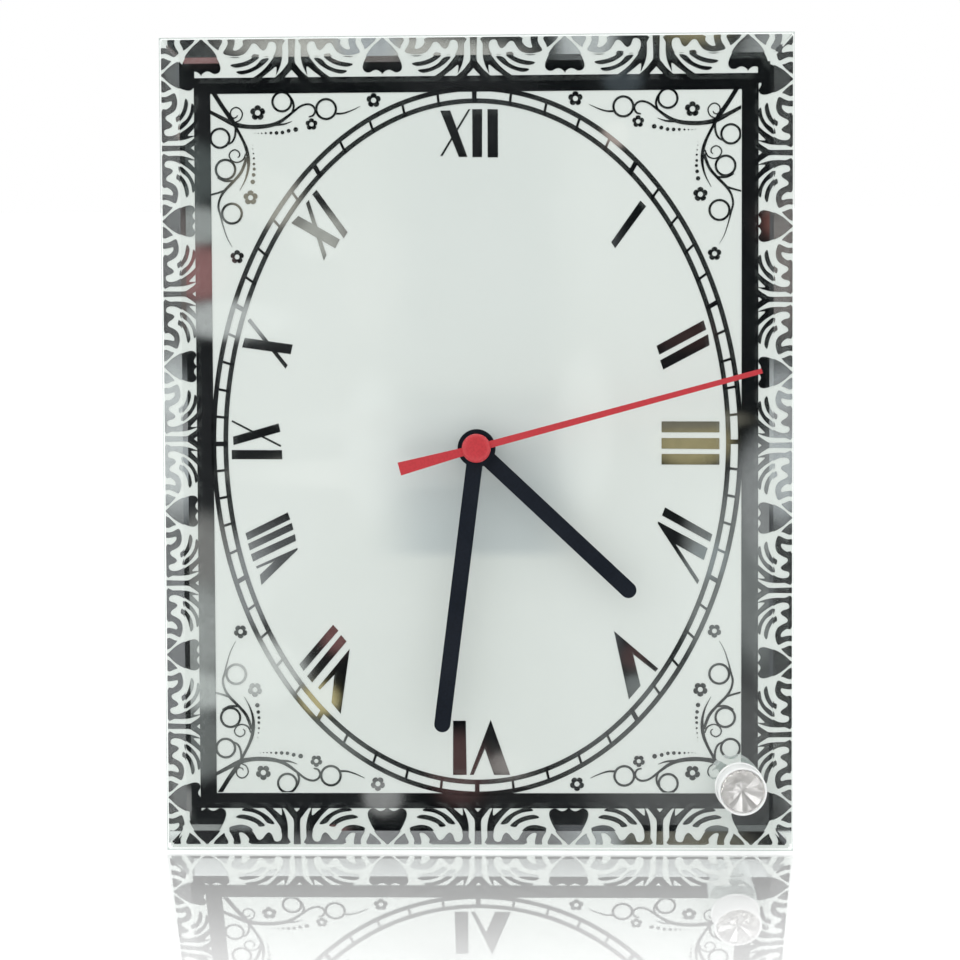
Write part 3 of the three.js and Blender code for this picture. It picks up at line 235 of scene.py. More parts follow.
def white_coat():
    """Thin white lacquer behind the glass, with the movement's shadow painted into its colour as a bluish grey
    patch.
    """
    made = bpy.data.materials.new("white_coat")
    tree = tree_of(made)
    where = placed(tree)
    x, _, z = panel_axes(tree, where)
    fine = noise(tree, where, 2600.0, 3.0)
    broad = noise(tree, where, 14.0, 2.0)
    patchy = stepped(tree, broad, *NOISE_MIDDLE)
    plain = mix_colour(tree, patchy, (0.815, 0.83, 0.812, 1), (0.84, 0.85, 0.836, 1))
    plain = mix_colour(tree, math_node(tree, "MULTIPLY", fine, 0.06), plain, grey(0.62))
    across = math_node(tree, "ABSOLUTE", math_node(tree, "SUBTRACT", x, SHADOW_MIDDLE))
    sides = stepped(tree, across, *SHADOW_SIDES, 1.0, 0.0)
    above = stepped(tree, z, *SHADOW_ABOVE, 1.0, 0.0)
    below = stepped(tree, z, *SHADOW_BELOW)
    shadow_under = stepped(tree, z, *SHADOW_UNDER, 0.0, UNDER_SHADOW_SHARE)
    painted_shadow = math_node(tree, "MULTIPLY", sides, math_node(tree, "MULTIPLY", above, below))
    painted_shadow = math_node(tree, "MAXIMUM", painted_shadow, math_node(tree, "MULTIPLY", sides, shadow_under))
    painted_shadow = math_node(tree, "MULTIPLY", painted_shadow, SHADOW_SHARE)
    # Painted shadow: the coat's colour turns bluish grey where the movement's shadow falls, with a fainter band of
    # painted shade from below the movement upwards
    colour = mix_colour(tree, painted_shadow, plain, (0.40, 0.455, 0.50, 1))
    shader = add(tree, "ShaderNodeBsdfPrincipled", {
        "Base Color": colour, "Roughness": stepped(tree, fine, *NOISE_MIDDLE, 0.5, 0.66),
        "Normal": bumped(tree, fine, 0.1, 0.02 * MM),
    })
    add(tree, "ShaderNodeOutputMaterial", {"Surface": shader.outputs[0]})
    return made


# The cell's print, by the place along its length
CELL_BAND = (13.9, 14.1)
CELL_TOP = (23.0, 23.1)
CELL_FOOT = (-24.6, -24.7)


def cell_finish():
    """Dark shrink sleeve with a pale band at the positive end and bare metal ends."""
    made = bpy.data.materials.new("cell_sleeve")
    tree = tree_of(made)
    where = placed(tree)
    x, _, _ = panel_axes(tree, where)
    fine = noise(tree, where, 900.0, 3.0)
    sleeve = mix_colour(tree, fine, (0.05, 0.055, 0.065, 1), (0.09, 0.095, 0.11, 1))
    sleeve = mix_colour(tree, stepped(tree, x, *CELL_BAND), sleeve, (0.46, 0.30, 0.13, 1))
    metal = math_node(tree, "MAXIMUM", stepped(tree, x, *CELL_TOP), stepped(tree, x, *CELL_FOOT))
    colour = mix_colour(tree, metal, sleeve, (0.62, 0.62, 0.60, 1))
    shader = add(tree, "ShaderNodeBsdfPrincipled", {
        "Base Color": colour, "Metallic": metal, "Roughness": stepped(tree, fine, *NOISE_MIDDLE, 0.24, 0.36),
        "Normal": bumped(tree, fine, 0.06, 0.03 * MM), "Coat Weight": 0.3,
    })
    add(tree, "ShaderNodeOutputMaterial", {"Surface": shader.outputs[0]})
    return made


# Finish of each material slot; a surface has its colour, roughness, grain and the spread of the first two
FINISH = {
    "glass": clear_surface("glass", (0.982, 0.996, 0.989, 1), 1.5, 0.005, (0.60, 0.675, 0.645, 1), 0.9),
    "mirror_film": surface("mirror_film", (0.82, 0.83, 0.84), 0.035, 420.0, 0.05, 0.015, metallic=1.0),
    "white_coat": white_coat(),
    "case_black": surface("case_black", (0.020, 0.020, 0.022), 0.46, 2600.0, 0.3, 0.06, bump=0.35),
    "train_white": surface("train_white", (0.78, 0.77, 0.72), 0.42, 1500.0, 0.06, 0.06, bump=0.08),
    "brass": surface("brass", (0.72, 0.53, 0.24), 0.26, 2200.0, 0.12, 0.07, metallic=1.0, stretch=(1, 1, 8)),
    "steel": surface("steel", (0.58, 0.59, 0.61), 0.3, 2200.0, 0.1, 0.07, metallic=1.0, stretch=(1, 1, 8)),
    "copper": surface("copper", (0.58, 0.27, 0.12), 0.3, 2600.0, 0.2, 0.08, metallic=1.0, stretch=(1, 1, 12)),
    "board_green": surface("board_green", (0.05, 0.17, 0.09), 0.36, 700.0, 0.3, 0.08, coat=0.4),
    "rubber_black": surface("rubber_black", (0.025, 0.025, 0.026), 0.75, 1900.0, 0.25, 0.06, bump=0.3),
    "hand_black": surface("hand_black", (0.006, 0.0095, 0.0165), 0.44, 1700.0, 0.22, 0.05, bump=0.1,
                          specular=0.22),
    "hand_red": surface("hand_red", (0.52, 0.038, 0.048), 0.36, 1700.0, 0.1, 0.06, bump=0.1, specular=0.35),
    "crystal": clear_surface("crystal", (0.995, 0.99, 0.98, 1), 1.6, 0.28, (0.98, 0.975, 0.955, 1)),
    "clear_plastic": surface("clear_plastic", (0.93, 0.94, 0.935), 0.3, 500.0, 0.04, 0.08, coat=0.4),
    "chrome": surface("chrome", (0.80, 0.81, 0.83), 0.09, 900.0, 0.05, 0.04, metallic=1.0),
    "cell_sleeve": cell_finish(),
}


# Meshes: a shape is a list of points in panel millimetres with a list of faces

LEAST_AREA = 1e-4
JOIN_WITHIN = 1e-4
WELD_WITHIN = 1e-6
BLADE_ANGLE = 50
CASE_ANGLE = 40


def circle(centre, radius, count, phase=0.0):
    turn = [phase + 2 * math.pi * index / count for index in range(count)]
    return [(centre[0] + radius * math.cos(a), centre[1] + radius * math.sin(a)) for a in turn]


def turned(profile, centre, segments=96):
    """A profile of radius and Y turned about an axis along Y at centre."""
    points, rings = [], []
    for radius, y in profile:
        if radius == 0:
            rings.append([len(points)] * segments)
            points.append((centre[0], y, centre[1]))
            continue
        rings.append(list(range(len(points), len(points) + segments)))
        points += [(x, y, z) for x, z in circle(centre, radius, segments)]
    faces = []
    for ring, following in zip(rings, rings[1:]):
        for index in range(segments):
            after = (index + 1) % segments
            corners = [ring[index], ring[after], following[after], following[index]]
            face = list(dict.fromkeys(corners))
            if len(face) > 2:
                faces.append(face)
    return points, faces


def area_of(outline):
    """Area of an outline, positive where it runs anticlockwise."""
    pairs = zip(outline, outline[1:] + outline[:1])
    return sum(a[0] * b[1] - b[0] * a[1] for a, b in pairs) / 2


def united(outlines, level):
    """Flat outlines in X and Z joined into one film with thickness along Y."""
    points, loops = [], []
    for outline in outlines:
        if abs(area_of(outline)) < LEAST_AREA:
            continue
        if area_of(outline) < 0:
            outline = outline[::-1]
        loops.append(list(range(len(points), len(points) + len(outline))))
        points += [Vector(point) for point in outline]
    flat, _, triangles, _, _, sources = geometry.delaunay_2d_cdt(points, [], loops, 1, JOIN_WITHIN)
    faces = [face for face, source in zip(triangles, sources) if source]
    front, back = level
    count = len(flat)
    solid = [(p.x, front, p.y) for p in flat] + [(p.x, back, p.y) for p in flat]
    edges = {(a, b) for face in faces for a, b in zip(face, face[1:] + face[:1])}
    rim = [(a, b) for a, b in edges if (b, a) not in edges]
    closed = [list(face) for face in faces]
    closed += [[count + index for index in reversed(face)] for face in faces]
    closed += [[b, a, count + a, count + b] for a, b in sorted(rim)]
    used = sorted({index for face in closed for index in face})
    place = {index: order for order, index in enumerate(used)}
    return [solid[index] for index in used], [[place[index] for index in face] for face in closed]


def soften(piece, width, degrees):
    """A narrow rounded edge wherever faces meet at more than an angle."""
    edge = piece.modifiers.new("edge", "BEVEL")
    edge.width = width * MM
    edge.segments = 2
    edge.limit_method = "ANGLE"
    edge.angle_limit = math.radians(degrees)


def make(name, shape, slot, body="clock", stands_for=(), sharp=32.0, bevel=0.0):
    """A piece of the visual model in its slot's finish, riding on a body."""
    points, faces = shape
    mesh = bpy.data.meshes.new(name)
    mesh.from_pydata([PANEL @ (Vector(point) * MM) for point in points], [], faces)
    work = bmesh.new()
    work.from_mesh(mesh)
    bmesh.ops.remove_doubles(work, verts=work.verts, dist=WELD_WITHIN)
    bmesh.ops.recalc_face_normals(work, faces=work.faces)
    for face in work.faces:
        face.smooth = True
    for edge in work.edges:
        edge.smooth = edge.is_manifold and edge.calc_face_angle(0.0) < math.radians(sharp)
    work.to_mesh(mesh)
    work.free()
    piece = bpy.data.objects.new(name, mesh)
    scene.collection.objects.link(piece)
    mesh.materials.append(FINISH[slot])
    if bevel:
        soften(piece, bevel, BLADE_ANGLE)
    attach(piece, body)
    if stands_for:
        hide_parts(*stands_for)


# Ornament of the mirror film

def blend(p0, p1, p2, p3, t):
    """Catmull-Rom between the second and third of four points."""
    return tuple(
        0.5 * (2 * b + (c - a) * t + (2 * a - 5 * b + 4 * c - d) * t ** 2 + (3 * b - a - 3 * c + d) * t ** 3)
        for a, b, c, d in zip(p0, p1, p2, p3))


def rounded(outline, steps=3):
    """A closed curve through an outline's points."""
    curve = []
    count = len(outline)
    for index in range(count):
        corners = [outline[(index + offset) % count] for offset in (-1, 0, 1, 2)]
        curve += [blend(*corners, step / steps) for step in range(steps)]
    return curve


def clipped(outline, line_point, inward):
    """The part of an outline on the inward side of a line."""
    kept = []
    for a, b in zip(outline, outline[1:] + outline[:1]):
        side_a = (a[0] - line_point[0]) * inward[0] + (a[1] - line_point[1]) * inward[1]
        side_b = (b[0] - line_point[0]) * inward[0] + (b[1] - line_point[1]) * inward[1]
        if side_a >= 0:
            kept.append(a)
        if side_a * side_b < 0:
            share = side_a / (side_a - side_b)
            kept.append((a[0] + (b[0] - a[0]) * share, a[1] + (b[1] - a[1]) * share))
    return kept


def spline(points, steps=6):
    """An open curve through points whose last value is a width."""
    ends = [points[0]] + points + [points[-1]]
    path = []
    for corners in zip(ends, ends[1:], ends[2:], ends[3:]):
        path += [blend(*corners, step / steps) for step in range(steps)]
    return path + [points[-1]]


def stroke(path, closed=False):
    """A line of points with widths as quads side by side."""
    rails = []
    count = len(path)
    for index, (x, z, width) in enumerate(path):
        before = path[index - 1] if index or closed else path[index]
        after = path[(index + 1) % count] if index + 1 < count or closed else path[index]
        along = Vector((after[0] - before[0], after[1] - before[1])).normalized()
        half = width / 2
        rails.append(((x - along.y * half, z + along.x * half), (x + along.y * half, z - along.x * half)))
    following = rails[1:] + rails[:1] if closed else rails[1:]
    return [[a[0], a[1], b[1], b[0]] for a, b in zip(rails, following)]


# Half of the border's repeat, from the forked stem's axis to the bud's axis:
# hundredths of half a repeat along, and hundredths of the border's depth outwards
MOTIF = [
    [(-1, 108), (3.6, 108), (3.6, 75), (3.6, 42), (6.5, 30), (11.5, 15), (18, 1), (21, -8), (9.5, -8),
     (6.8, 2), (3, 12), (0, 20), (-1, 21), (-1, 60)],
    [(10.2, 100), (10.4, 80.6), (10.2, 57.2), (11.6, 37.1), (14.1, 20.4), (17.1, 6.4), (16.6, 17.7),
     (17.1, 28.8), (23.4, 17.1), (32.5, 0), (36, -8), (46, -8), (42.2, 0), (35.2, 12), (28.3, 27.1),
     (22.7, 43.8), (19.2, 55.5), (17.1, 68.9), (16.9, 80.6), (18.5, 89.6), (22, 93), (25.2, 90.6),
     (26.6, 82.3), (28, 73.9), (31.1, 68.2), (34.5, 73.2), (37.7, 83.3), (41.1, 88.3), (44.3, 85.6),
     (47.1, 73.9), (50.6, 62.2), (55.4, 55.5), (61.7, 52.8), (68, 54.5), (75.3, 61.2), (72.1, 77.3),
     (70.3, 89), (70.3, 100), (63.1, 100), (63.4, 82.3), (64.5, 70.6), (61, 68.9), (56.8, 74.6),
     (53.3, 85.6), (50.3, 100)],
    [(24.8, 50.2), (32.7, 48.5), (39.4, 32.1), (49.2, 21.1), (61, 16.4), (55, 8.4), (43.6, 15.4),
     (32.5, 30.4)],
    [(35.5, 54.5), (41.9, 57.9), (45, 49.8), (54.7, 40.5), (67.5, 34.4), (61.7, 26.8), (50.6, 31.1),
     (42.2, 40.5)],
    [(77, 99), (93, 99), (81.9, 71.2), (79.8, 77.3)],
    [(101, 105), (99.6, 102), (96.8, 94), (93, 86), (88.6, 75), (84.6, 62), (81.4, 48), (79.3, 36),
     (78.4, 25), (79.6, 16), (83, 11), (86.6, 11.5), (89.6, 15.5), (92.6, 17.5), (95.6, 16), (98, 12),
     (100, 9.5), (101, 9.5), (101, 60)],
]
MOTIF_SHIFT = 11.7


def border_row(repeats, repeat, middle, depth, shift, corners, place):
    """One side of the border about its middle, mitred at both corners from band to glass edge."""
    outlines = []
    stretch = (100 + shift) / 100
    low, high = corners
    for index in range(-repeats - 2, repeats + 2):
        axis = middle + (index + index % 2) * repeat / 2
        side = -1 if index % 2 else 1
        for half in MOTIF:
            outline = [(axis + side * along / 200 * repeat, (out * stretch - shift) / 100 * depth)
                       for along, out in rounded(half)]
            outline = clipped(outline, (low[0], 0), (depth, low[0] - low[1]))
            outline = clipped(outline, (high[0], 0), (-depth, high[1] - high[0]))
            outline = clipped(outline, (0, depth), (0, -1))
            if len(outline) > 2:
                outlines.append([place(along, out) for along, out in outline])
    return outlines


def bar(x, z):
    """A rectangle between two places across and two heights."""
    return [(x[0], z[0]), (x[1], z[0]), (x[1], z[1]), (x[0], z[1])]


def ring_point(turn, offset):
    """A point beside the oval, at a share of its turn and an offset outwards."""
    c, s = math.cos(turn), math.sin(turn)
    outward = Vector((c / RING_HALF_WIDTH, s / RING_HALF_HEIGHT)).normalized()
    return (RING_CENTRE[0] + RING_HALF_WIDTH * c + outward.x * offset,
            RING_CENTRE[1] + RING_HALF_HEIGHT * s + outward.y * offset)


def ring_crossing(turn):
    """Where a line from the ticks' centre at a clock angle meets the oval."""
    dx, dz = math.sin(turn), math.cos(turn)
    across = TICK_CENTRE[0] - RING_CENTRE[0]
    rise = TICK_CENTRE[1] - RING_CENTRE[1]
    a = (dx / RING_HALF_WIDTH) ** 2 + (dz / RING_HALF_HEIGHT) ** 2
    b = across * dx / RING_HALF_WIDTH ** 2 + rise * dz / RING_HALF_HEIGHT ** 2
    c = (across / RING_HALF_WIDTH) ** 2 + (rise / RING_HALF_HEIGHT) ** 2 - 1
    reach = (math.sqrt(b * b - a * c) - b) / a
    return TICK_CENTRE[0] + dx * reach, TICK_CENTRE[1] + dz * reach, dx, dz


RING_STEPS = 240
TICK_OVERLAP = 0.15


def ring_outlines():
    """Both lines of the oval minute ring with the ticks between them."""
    outlines = []
    turns = [2 * math.pi * index / RING_STEPS for index in range(RING_STEPS)]
    for offset in (-RING_SPACING / 2, RING_SPACING / 2):
        path = [(*ring_point(turn, offset), RING_LINE) for turn in turns]
        outlines += stroke(path, closed=True)
    for minute in range(60):
        width = HOUR_TICK if minute % 5 == 0 else MINUTE_TICK
        x, z, dx, dz = ring_crossing(math.radians(6 * minute))
        half = RING_SPACING / 2 + TICK_OVERLAP
        outlines += stroke([(x - dx * half, z - dz * half, width), (x + dx * half, z + dz * half, width)])
    return outlines


# Small fills that close the film where two rows meet the band's corners
OVERLAP = 0.2
CORNER_FILL = 3.2
SIDE_SEAM = 1.2
END_SEAM = 2.8
LEFT_FILL = (BAND_LEFT[0] - CORNER_FILL, BAND_LEFT[0] + OVERLAP)
RIGHT_FILL = (BAND_RIGHT[1] - OVERLAP, BAND_RIGHT[1] + CORNER_FILL)
LOW_FILL = (BAND_LOW[0] - CORNER_FILL, BAND_LOW[0] + OVERLAP)
HIGH_FILL = (BAND_HIGH[1] - OVERLAP, BAND_HIGH[1] + CORNER_FILL)
LEFT_SEAM = (BAND_LEFT[0] - SIDE_SEAM, BAND_LEFT[0] + OVERLAP)
RIGHT_SEAM = (BAND_RIGHT[1] - OVERLAP, BAND_RIGHT[1] + SIDE_SEAM)
LOW_SEAM = (BAND_LOW[0], BAND_LOW[0] + END_SEAM)
HIGH_SEAM = (BAND_HIGH[1] - END_SEAM, BAND_HIGH[1])
EDGE_X = GLASS_WIDTH / 2 - FILM_INSET
EDGE_LOW = 1.5
EDGE_HIGH = GLASS_HEIGHT - FILM_INSET
END_CORNERS = ((BAND_LEFT[0], -EDGE_X), (BAND_RIGHT[1], EDGE_X))
SIDE_CORNERS = ((BAND_LOW[0], EDGE_LOW), (BAND_HIGH[1], EDGE_HIGH))

# Rows of the border: half repeats to each side, length of a repeat, middle of the row
TOP_ROW = (3, 51.3, -0.6)
LOW_ROW = (3, 51.8, -0.25)
LEFT_ROW = (5, 41.1, 117.3)
RIGHT_ROW = (5, 41.05, 114.8)

border_film = [
    bar((BAND_LEFT[0], BAND_RIGHT[1]), BAND_LOW),
    bar((BAND_LEFT[0], BAND_RIGHT[1]), BAND_HIGH),
    bar(BAND_LEFT, (BAND_LOW[0], BAND_HIGH[1])),
    bar(BAND_RIGHT, (BAND_LOW[0], BAND_HIGH[1])),
    bar(LEFT_FILL, HIGH_FILL),
    bar(RIGHT_FILL, HIGH_FILL),
    bar(LEFT_FILL, LOW_FILL),
    bar(RIGHT_FILL, LOW_FILL),
    bar(LEFT_SEAM, HIGH_SEAM),
    bar(RIGHT_SEAM, HIGH_SEAM),
    bar(LEFT_SEAM, LOW_SEAM),
    bar(RIGHT_SEAM, LOW_SEAM),
]
border_film += border_row(*TOP_ROW, EDGE_HIGH - BAND_HIGH[1], 0.0, END_CORNERS,
                          lambda along, out: (along, BAND_HIGH[1] + out))
border_film += border_row(*LOW_ROW, BAND_LOW[0] - EDGE_LOW, MOTIF_SHIFT, END_CORNERS,
                          lambda along, out: (along, BAND_LOW[0] - out))
border_film += border_row(*LEFT_ROW, EDGE_X + BAND_LEFT[0], MOTIF_SHIFT, SIDE_CORNERS,
                          lambda along, out: (BAND_LEFT[0] - out, along))
border_film += border_row(*RIGHT_ROW, EDGE_X - BAND_RIGHT[1], MOTIF_SHIFT, SIDE_CORNERS,
                          lambda along, out: (BAND_RIGHT[1] + out, along))
make("border_film", united(border_film, FILM_LEVEL), "mirror_film", stands_for=["mirror_border"])

STRIP_REACH = GLASS_WIDTH / 2 - 1
STRIP_HEIGHT = (0.5, 1.4)
STRIP_LEVEL = (0.2, 0.3)
make("coat_lower_strip", united([bar((-STRIP_REACH, STRIP_REACH), STRIP_HEIGHT)], STRIP_LEVEL), "white_coat")
make("dial_ring_film", united(ring_outlines(), FILM_LEVEL), "mirror_film")

# One corner's filigree: millimetres right and down from the band's inner corner, with line widths
STEMS = [
    [(0.85, -0.56, 1.11), (3.52, 3.7, 1.04), (6.11, 7.4, 1.11), (7.59, 10, 0.74), (9.25, 13.14, 0.67),
     (10.37, 15.92, 0.81), (10.85, 18.88, 0.81), (10.74, 21.47, 0.59), (9.88, 24.43, 0.37),
     (8.33, 27.39, 0.11)],
    [(-0.37, 5, 0.81), (3.15, 6.85, 0.96), (6.85, 8.7, 1.18), (10.18, 9.44, 1.04), (13.88, 9.55, 1.04),
     (17.58, 9.07, 0.96), (20.55, 7.77, 0.81), (23.51, 5.55, 0.59), (25.73, 3.89, 0.52), (27.76, 3.33, 0.52),
     (29.25, 3.89, 0.52), (29.88, 5.18, 0.52), (29.25, 6.48, 0.48), (28.02, 6.85, 0.33)],
    [(17.95, 8.96, 0.74), (20.92, 8.88, 0.44), (23.32, 8.07, 0.11)],
    [(22.21, 0.67, 0.52), (23.43, 2.22, 0.52), (23.8, 4.07, 0.52), (23.32, 5.55, 0.44)],
    [(35.17, 6, 0.52), (37.58, 6, 0.44), (40.17, 5.18, 0.3), (42.57, 4.07, 0.11)],
    [(7.33, 9.07, 0.52), (7.14, 11.85, 0.52), (6.29, 13.7, 0.48), (4.7, 14.51, 0.44)],
    [(10.37, 18.14, 0.67), (8.88, 22.03, 0.74), (6.66, 24.73, 0.67), (4.07, 27.39, 0.67), (2.7, 29.62, 0.52),
     (2.22, 32.02, 0.52), (2.78, 34.43, 0.44), (3.52, 37.39, 0.3), (4.63, 40.72, 0.19), (6.03, 43.31, 0.07)],
    [(4.18, 27.32, 0.52), (2.22, 27.99, 0.48), (-0.37, 28.69, 0.44)],
    [(2.04, 23.62, 0.52), (4.07, 24.62, 0.56), (6.77, 24.66, 0.52)],
    [(6.92, 8.33, 0.33), (8.63, 7.52, 0.33), (9.25, 5.85, 0.33), (8.55, 4.52, 0.33), (7.29, 4.07, 0.33),
     (6.11, 4.81, 0.33), (5.92, 6.15, 0.33), (6.66, 7.03, 0.33), (7.59, 6.77, 0.3), (7.81, 6.22, 0.22)],
    [(10.11, 17.03, 0.37), (9.37, 18.7, 0.37), (7.77, 19.47, 0.33), (6.29, 19.07, 0.33), (5.44, 17.77, 0.33),
     (5.81, 16.55, 0.33), (7.03, 15.96, 0.33), (8.18, 16.58, 0.33), (8.37, 17.62, 0.3), (7.81, 18.14, 0.22)],
]

# Centres with radii
CIRCLES = [
    (20.47, 2.59, 2.67), (32.95, 4.74, 2.78), (2.85, 12.66, 2.67), (4.33, 21.47, 2.74), (6.03, 33.87, 2.78),
]
FLOWERS = [
    (13.59, 5.63, 2.15), (46.39, 2.41, 2.04), (28.8, 8.96, 1.7), (11.37, 29.43, 2.04), (7.4, 46.09, 1.93),
]
DOTS = [
    (12.77, 11.29, 0.11), (13.7, 11.37, 0.15), (14.7, 11.37, 0.2), (15.84, 11.33, 0.28), (17.29, 11.29, 0.41),
    (18.88, 11.29, 0.52), (20.55, 11.18, 0.52), (22.32, 10.74, 0.56), (24.32, 10.37, 0.67),
    (12.14, 14.7, 0.09), (12.11, 15.73, 0.13), (12.29, 17.03, 0.2), (12.4, 18.4, 0.3), (12.4, 19.99, 0.39),
    (12.48, 21.4, 0.44), (12.29, 23.03, 0.52), (12.03, 24.99, 0.63),
]

STEM_WEIGHT = 1.15
CIRCLE_LINE = 0.66
PETALS = 5
FLOWER_HOLE = 0.36
CIRCLE_STEPS = 40
DOT_STEPS = 14
FLOWER_STEPS = 60
PETAL_ROOT = 0.66


def flower(x, y, reach):
    """Five round petals about an open eye, as quads side by side."""
    rails = []
    near = reach * FLOWER_HOLE
    for index in range(FLOWER_STEPS):
        turn = 2 * math.pi * index / FLOWER_STEPS
        lobe = abs(math.cos(PETALS * (turn + math.pi / 2) / 2))
        far = reach * (PETAL_ROOT + (1 - PETAL_ROOT) * math.sqrt(lobe))
        c, s = math.cos(turn), math.sin(turn)
        rails.append(((x + near * c, y + near * s), (x + far * c, y + far * s)))
    return [[a[0], a[1], b[1], b[0]] for a, b in zip(rails, rails[1:] + rails[:1])]


def corner_outlines():
    """All outlines of one corner's filigree, cut off at the band."""
    outlines = []
    for stem in STEMS:
        outlines += stroke([(x, z, width * STEM_WEIGHT) for x, z, width in spline(stem)])
    for x, y, radius in CIRCLES:
        path = [(px, py, CIRCLE_LINE) for px, py in circle((x, y), radius, CIRCLE_STEPS)]
        outlines += stroke(path, closed=True)
    for x, y, reach in FLOWERS:
        outlines += flower(x, y, reach)
    outlines += [circle((x, y), radius, DOT_STEPS) for x, y, radius in DOTS]
    kept = [clipped(clipped(outline, (0, 0), (1, 0)), (0, 0), (0, 1)) for outline in outlines]
    return [outline for outline in kept if len(outline) > 2]


filigree = united(corner_outlines(), FILM_LEVEL)
FILIGREE_SHIFT = (-0.2, 0.25)
INNER_LEFT = BAND_LEFT[1] + FILIGREE_SHIFT[0]
INNER_RIGHT = BAND_RIGHT[0] + FILIGREE_SHIFT[0]
INNER_LOW = BAND_LOW[1] + FILIGREE_SHIFT[1]
INNER_HIGH = BAND_HIGH[0] + FILIGREE_SHIFT[1]
CORNERS = {
    "upper_left": lambda x, z: (INNER_LEFT + x, INNER_HIGH - z),
    "upper_right": lambda x, z: (INNER_RIGHT - x, INNER_HIGH - z),
    "lower_left": lambda x, z: (INNER_LEFT + x, INNER_LOW + z),
    "lower_right": lambda x, z: (INNER_RIGHT - x, INNER_LOW + z),
}
for corner, place in CORNERS.items():
    points = [(place(x, z)[0], y, place(x, z)[1]) for x, y, z in filigree[0]]
    make("filigree_" + corner, (points, filigree[1]), "mirror_film")

# Strokes of the Roman numerals, millimetres on the panel
NUMERALS = {
    "XII": [
        [(-10, 209.4), (-7.2, 209.4), (-2.4, 196.4), (-4.8, 196.4)],
        [(-2.1, 209.7), (-1.5, 209.7), (-9.4, 196.7), (-10.1, 196.7)],
        [(-1, 209.7), (1.8, 209.7), (1.7, 196.3), (-1, 196.3)],
        [(3.3, 209.7), (6.2, 209.6), (6.2, 196.2), (3.3, 196.2)],
    ],
    "I": [
        [(46.2, 183.8), (47.8, 182.2), (39.1, 170.5), (38, 172.2)],
    ],
    "II": [
        [(63.9, 150.1), (64.7, 147.5), (51.5, 140.5), (50.7, 143)],
        [(65.2, 146.2), (65.6, 143.1), (52.6, 136.3), (51.7, 138.9)],
    ],
    "III": [
        [(52.1, 121.7), (68.4, 121.6), (68.4, 118.5), (52.1, 118.6)],
        [(52.1, 117), (68.4, 116.9), (68.4, 113.8), (52.1, 114)],
        [(52.1, 112.5), (68.4, 112.4), (68.4, 109.4), (52.1, 109.5)],
    ],
    "IIII": [
        [(53.1, 97.4), (66.4, 89.7), (65.8, 87.6), (52.2, 95.1)],
        [(51.1, 93.4), (65.1, 85.8), (64, 82.4), (56.1, 86.9), (62.7, 76.7), (62.2, 75.6), (51, 92.8)],
    ],
    "V": [
        [(38.6, 62.3), (51.1, 51.6), (50.3, 50.7), (44, 55.7), (46.1, 46.7), (42.8, 42.8)],
    ],
    "VI": [
        [(-7.2, 36.7), (-3.6, 36.7), (-3.4, 21.2), (-7.3, 21.2)],
        [(3.5, 37), (9, 21.2), (4.4, 21.2), (1.8, 28.7), (-1.4, 21.2), (-2.5, 21.2)],
    ],
    "VII": [
        [(-41.3, 64.2), (-39.8, 62.5), (-49.8, 51), (-51, 52.9)],
        [(-39, 61.3), (-37.5, 59.4), (-47.4, 47.7), (-48.8, 49.5)],
        [(-36.6, 57.3), (-39.3, 38.7), (-41.9, 41.9), (-41, 49.9), (-45.2, 45.6), (-45.7, 46.3)],
    ],
    "VIII": [
        [(-54, 96.3), (-53.3, 94.3), (-65.5, 88.4), (-66.1, 90.4)],
        [(-52.9, 93.3), (-52.4, 91.4), (-64.9, 85.5), (-65.4, 87.4)],
        [(-52, 90.1), (-51.7, 88.2), (-64, 82.3), (-64.6, 84.4)],
        [(-51.3, 86.2), (-51.3, 85.6), (-61.7, 75.6), (-62.1, 78.5), (-58.1, 82.3), (-62.9, 80.3),
         (-63.2, 80.9)],
    ],
    "IX": [
        [(-69.8, 122.1), (-69.6, 122.6), (-55.7, 115.4), (-55.9, 114.9)],
        [(-69.4, 117.9), (-56.4, 121.6), (-55.9, 119.2), (-69.3, 115.5)],
        [(-69.8, 114.1), (-55.5, 114), (-55.4, 111.4), (-69.8, 111.5)],
    ],
    "X": [
        [(-65.8, 145.9), (-52.2, 143.9), (-52.8, 141.2), (-66.6, 143.2)],
        [(-65, 150.7), (-64.2, 151.4), (-53.7, 138.1), (-54.3, 137.1)],
    ],
    "XI": [
        [(-45.1, 187.5), (-36.4, 175.5), (-37.5, 173.8), (-46.3, 186.2)],
        [(-48.1, 183.7), (-47.3, 184.7), (-42.4, 169.1), (-43.2, 167.6)],
        [(-50.3, 180.2), (-38.6, 173.5), (-39.9, 171), (-52.3, 178.2)],
    ],
}
for numeral, strokes in NUMERALS.items():
    make("numeral_" + numeral, united(strokes, FILM_LEVEL), "mirror_film")


# Hands

END_STEPS = 24


def aimed(outline, degrees):
    """An outline drawn along twelve o'clock from the shaft, turned clockwise to its place."""
    c, s = math.cos(math.radians(degrees)), math.sin(math.radians(degrees))
    return [(x * c + z * s, SHAFT_HEIGHT + z * c - x * s) for x, z in outline]


def baton(length, width):
    """A straight hand with a round end."""
    half = width / 2
    end = [(half * math.cos(a), length - half + half * math.sin(a))
           for a in (math.pi * index / END_STEPS for index in range(END_STEPS + 1))]
    return [(-half, 0), (half, 0)] + end


SHAFT = (0.0, SHAFT_HEIGHT)
HAND_WIDTH = 4.5
HUB_STEPS = 64

# Length, clock angle in degrees, level and hub radius of the two black hands
HANDS = {
    "hour_hand": (60.1, 133.3, (-9.2, -8.8), 5.3),
    "minute_hand": (79.7, 187.3, (-11.2, -10.8), 5.1),
}
for hand, (length, angle, level, hub) in HANDS.items():
    outlines = [aimed(baton(length, HAND_WIDTH), angle), circle(SHAFT, hub, HUB_STEPS)]
    make(hand + "_blade", united(outlines, level), "hand_black", hand, [hand], bevel=0.09)

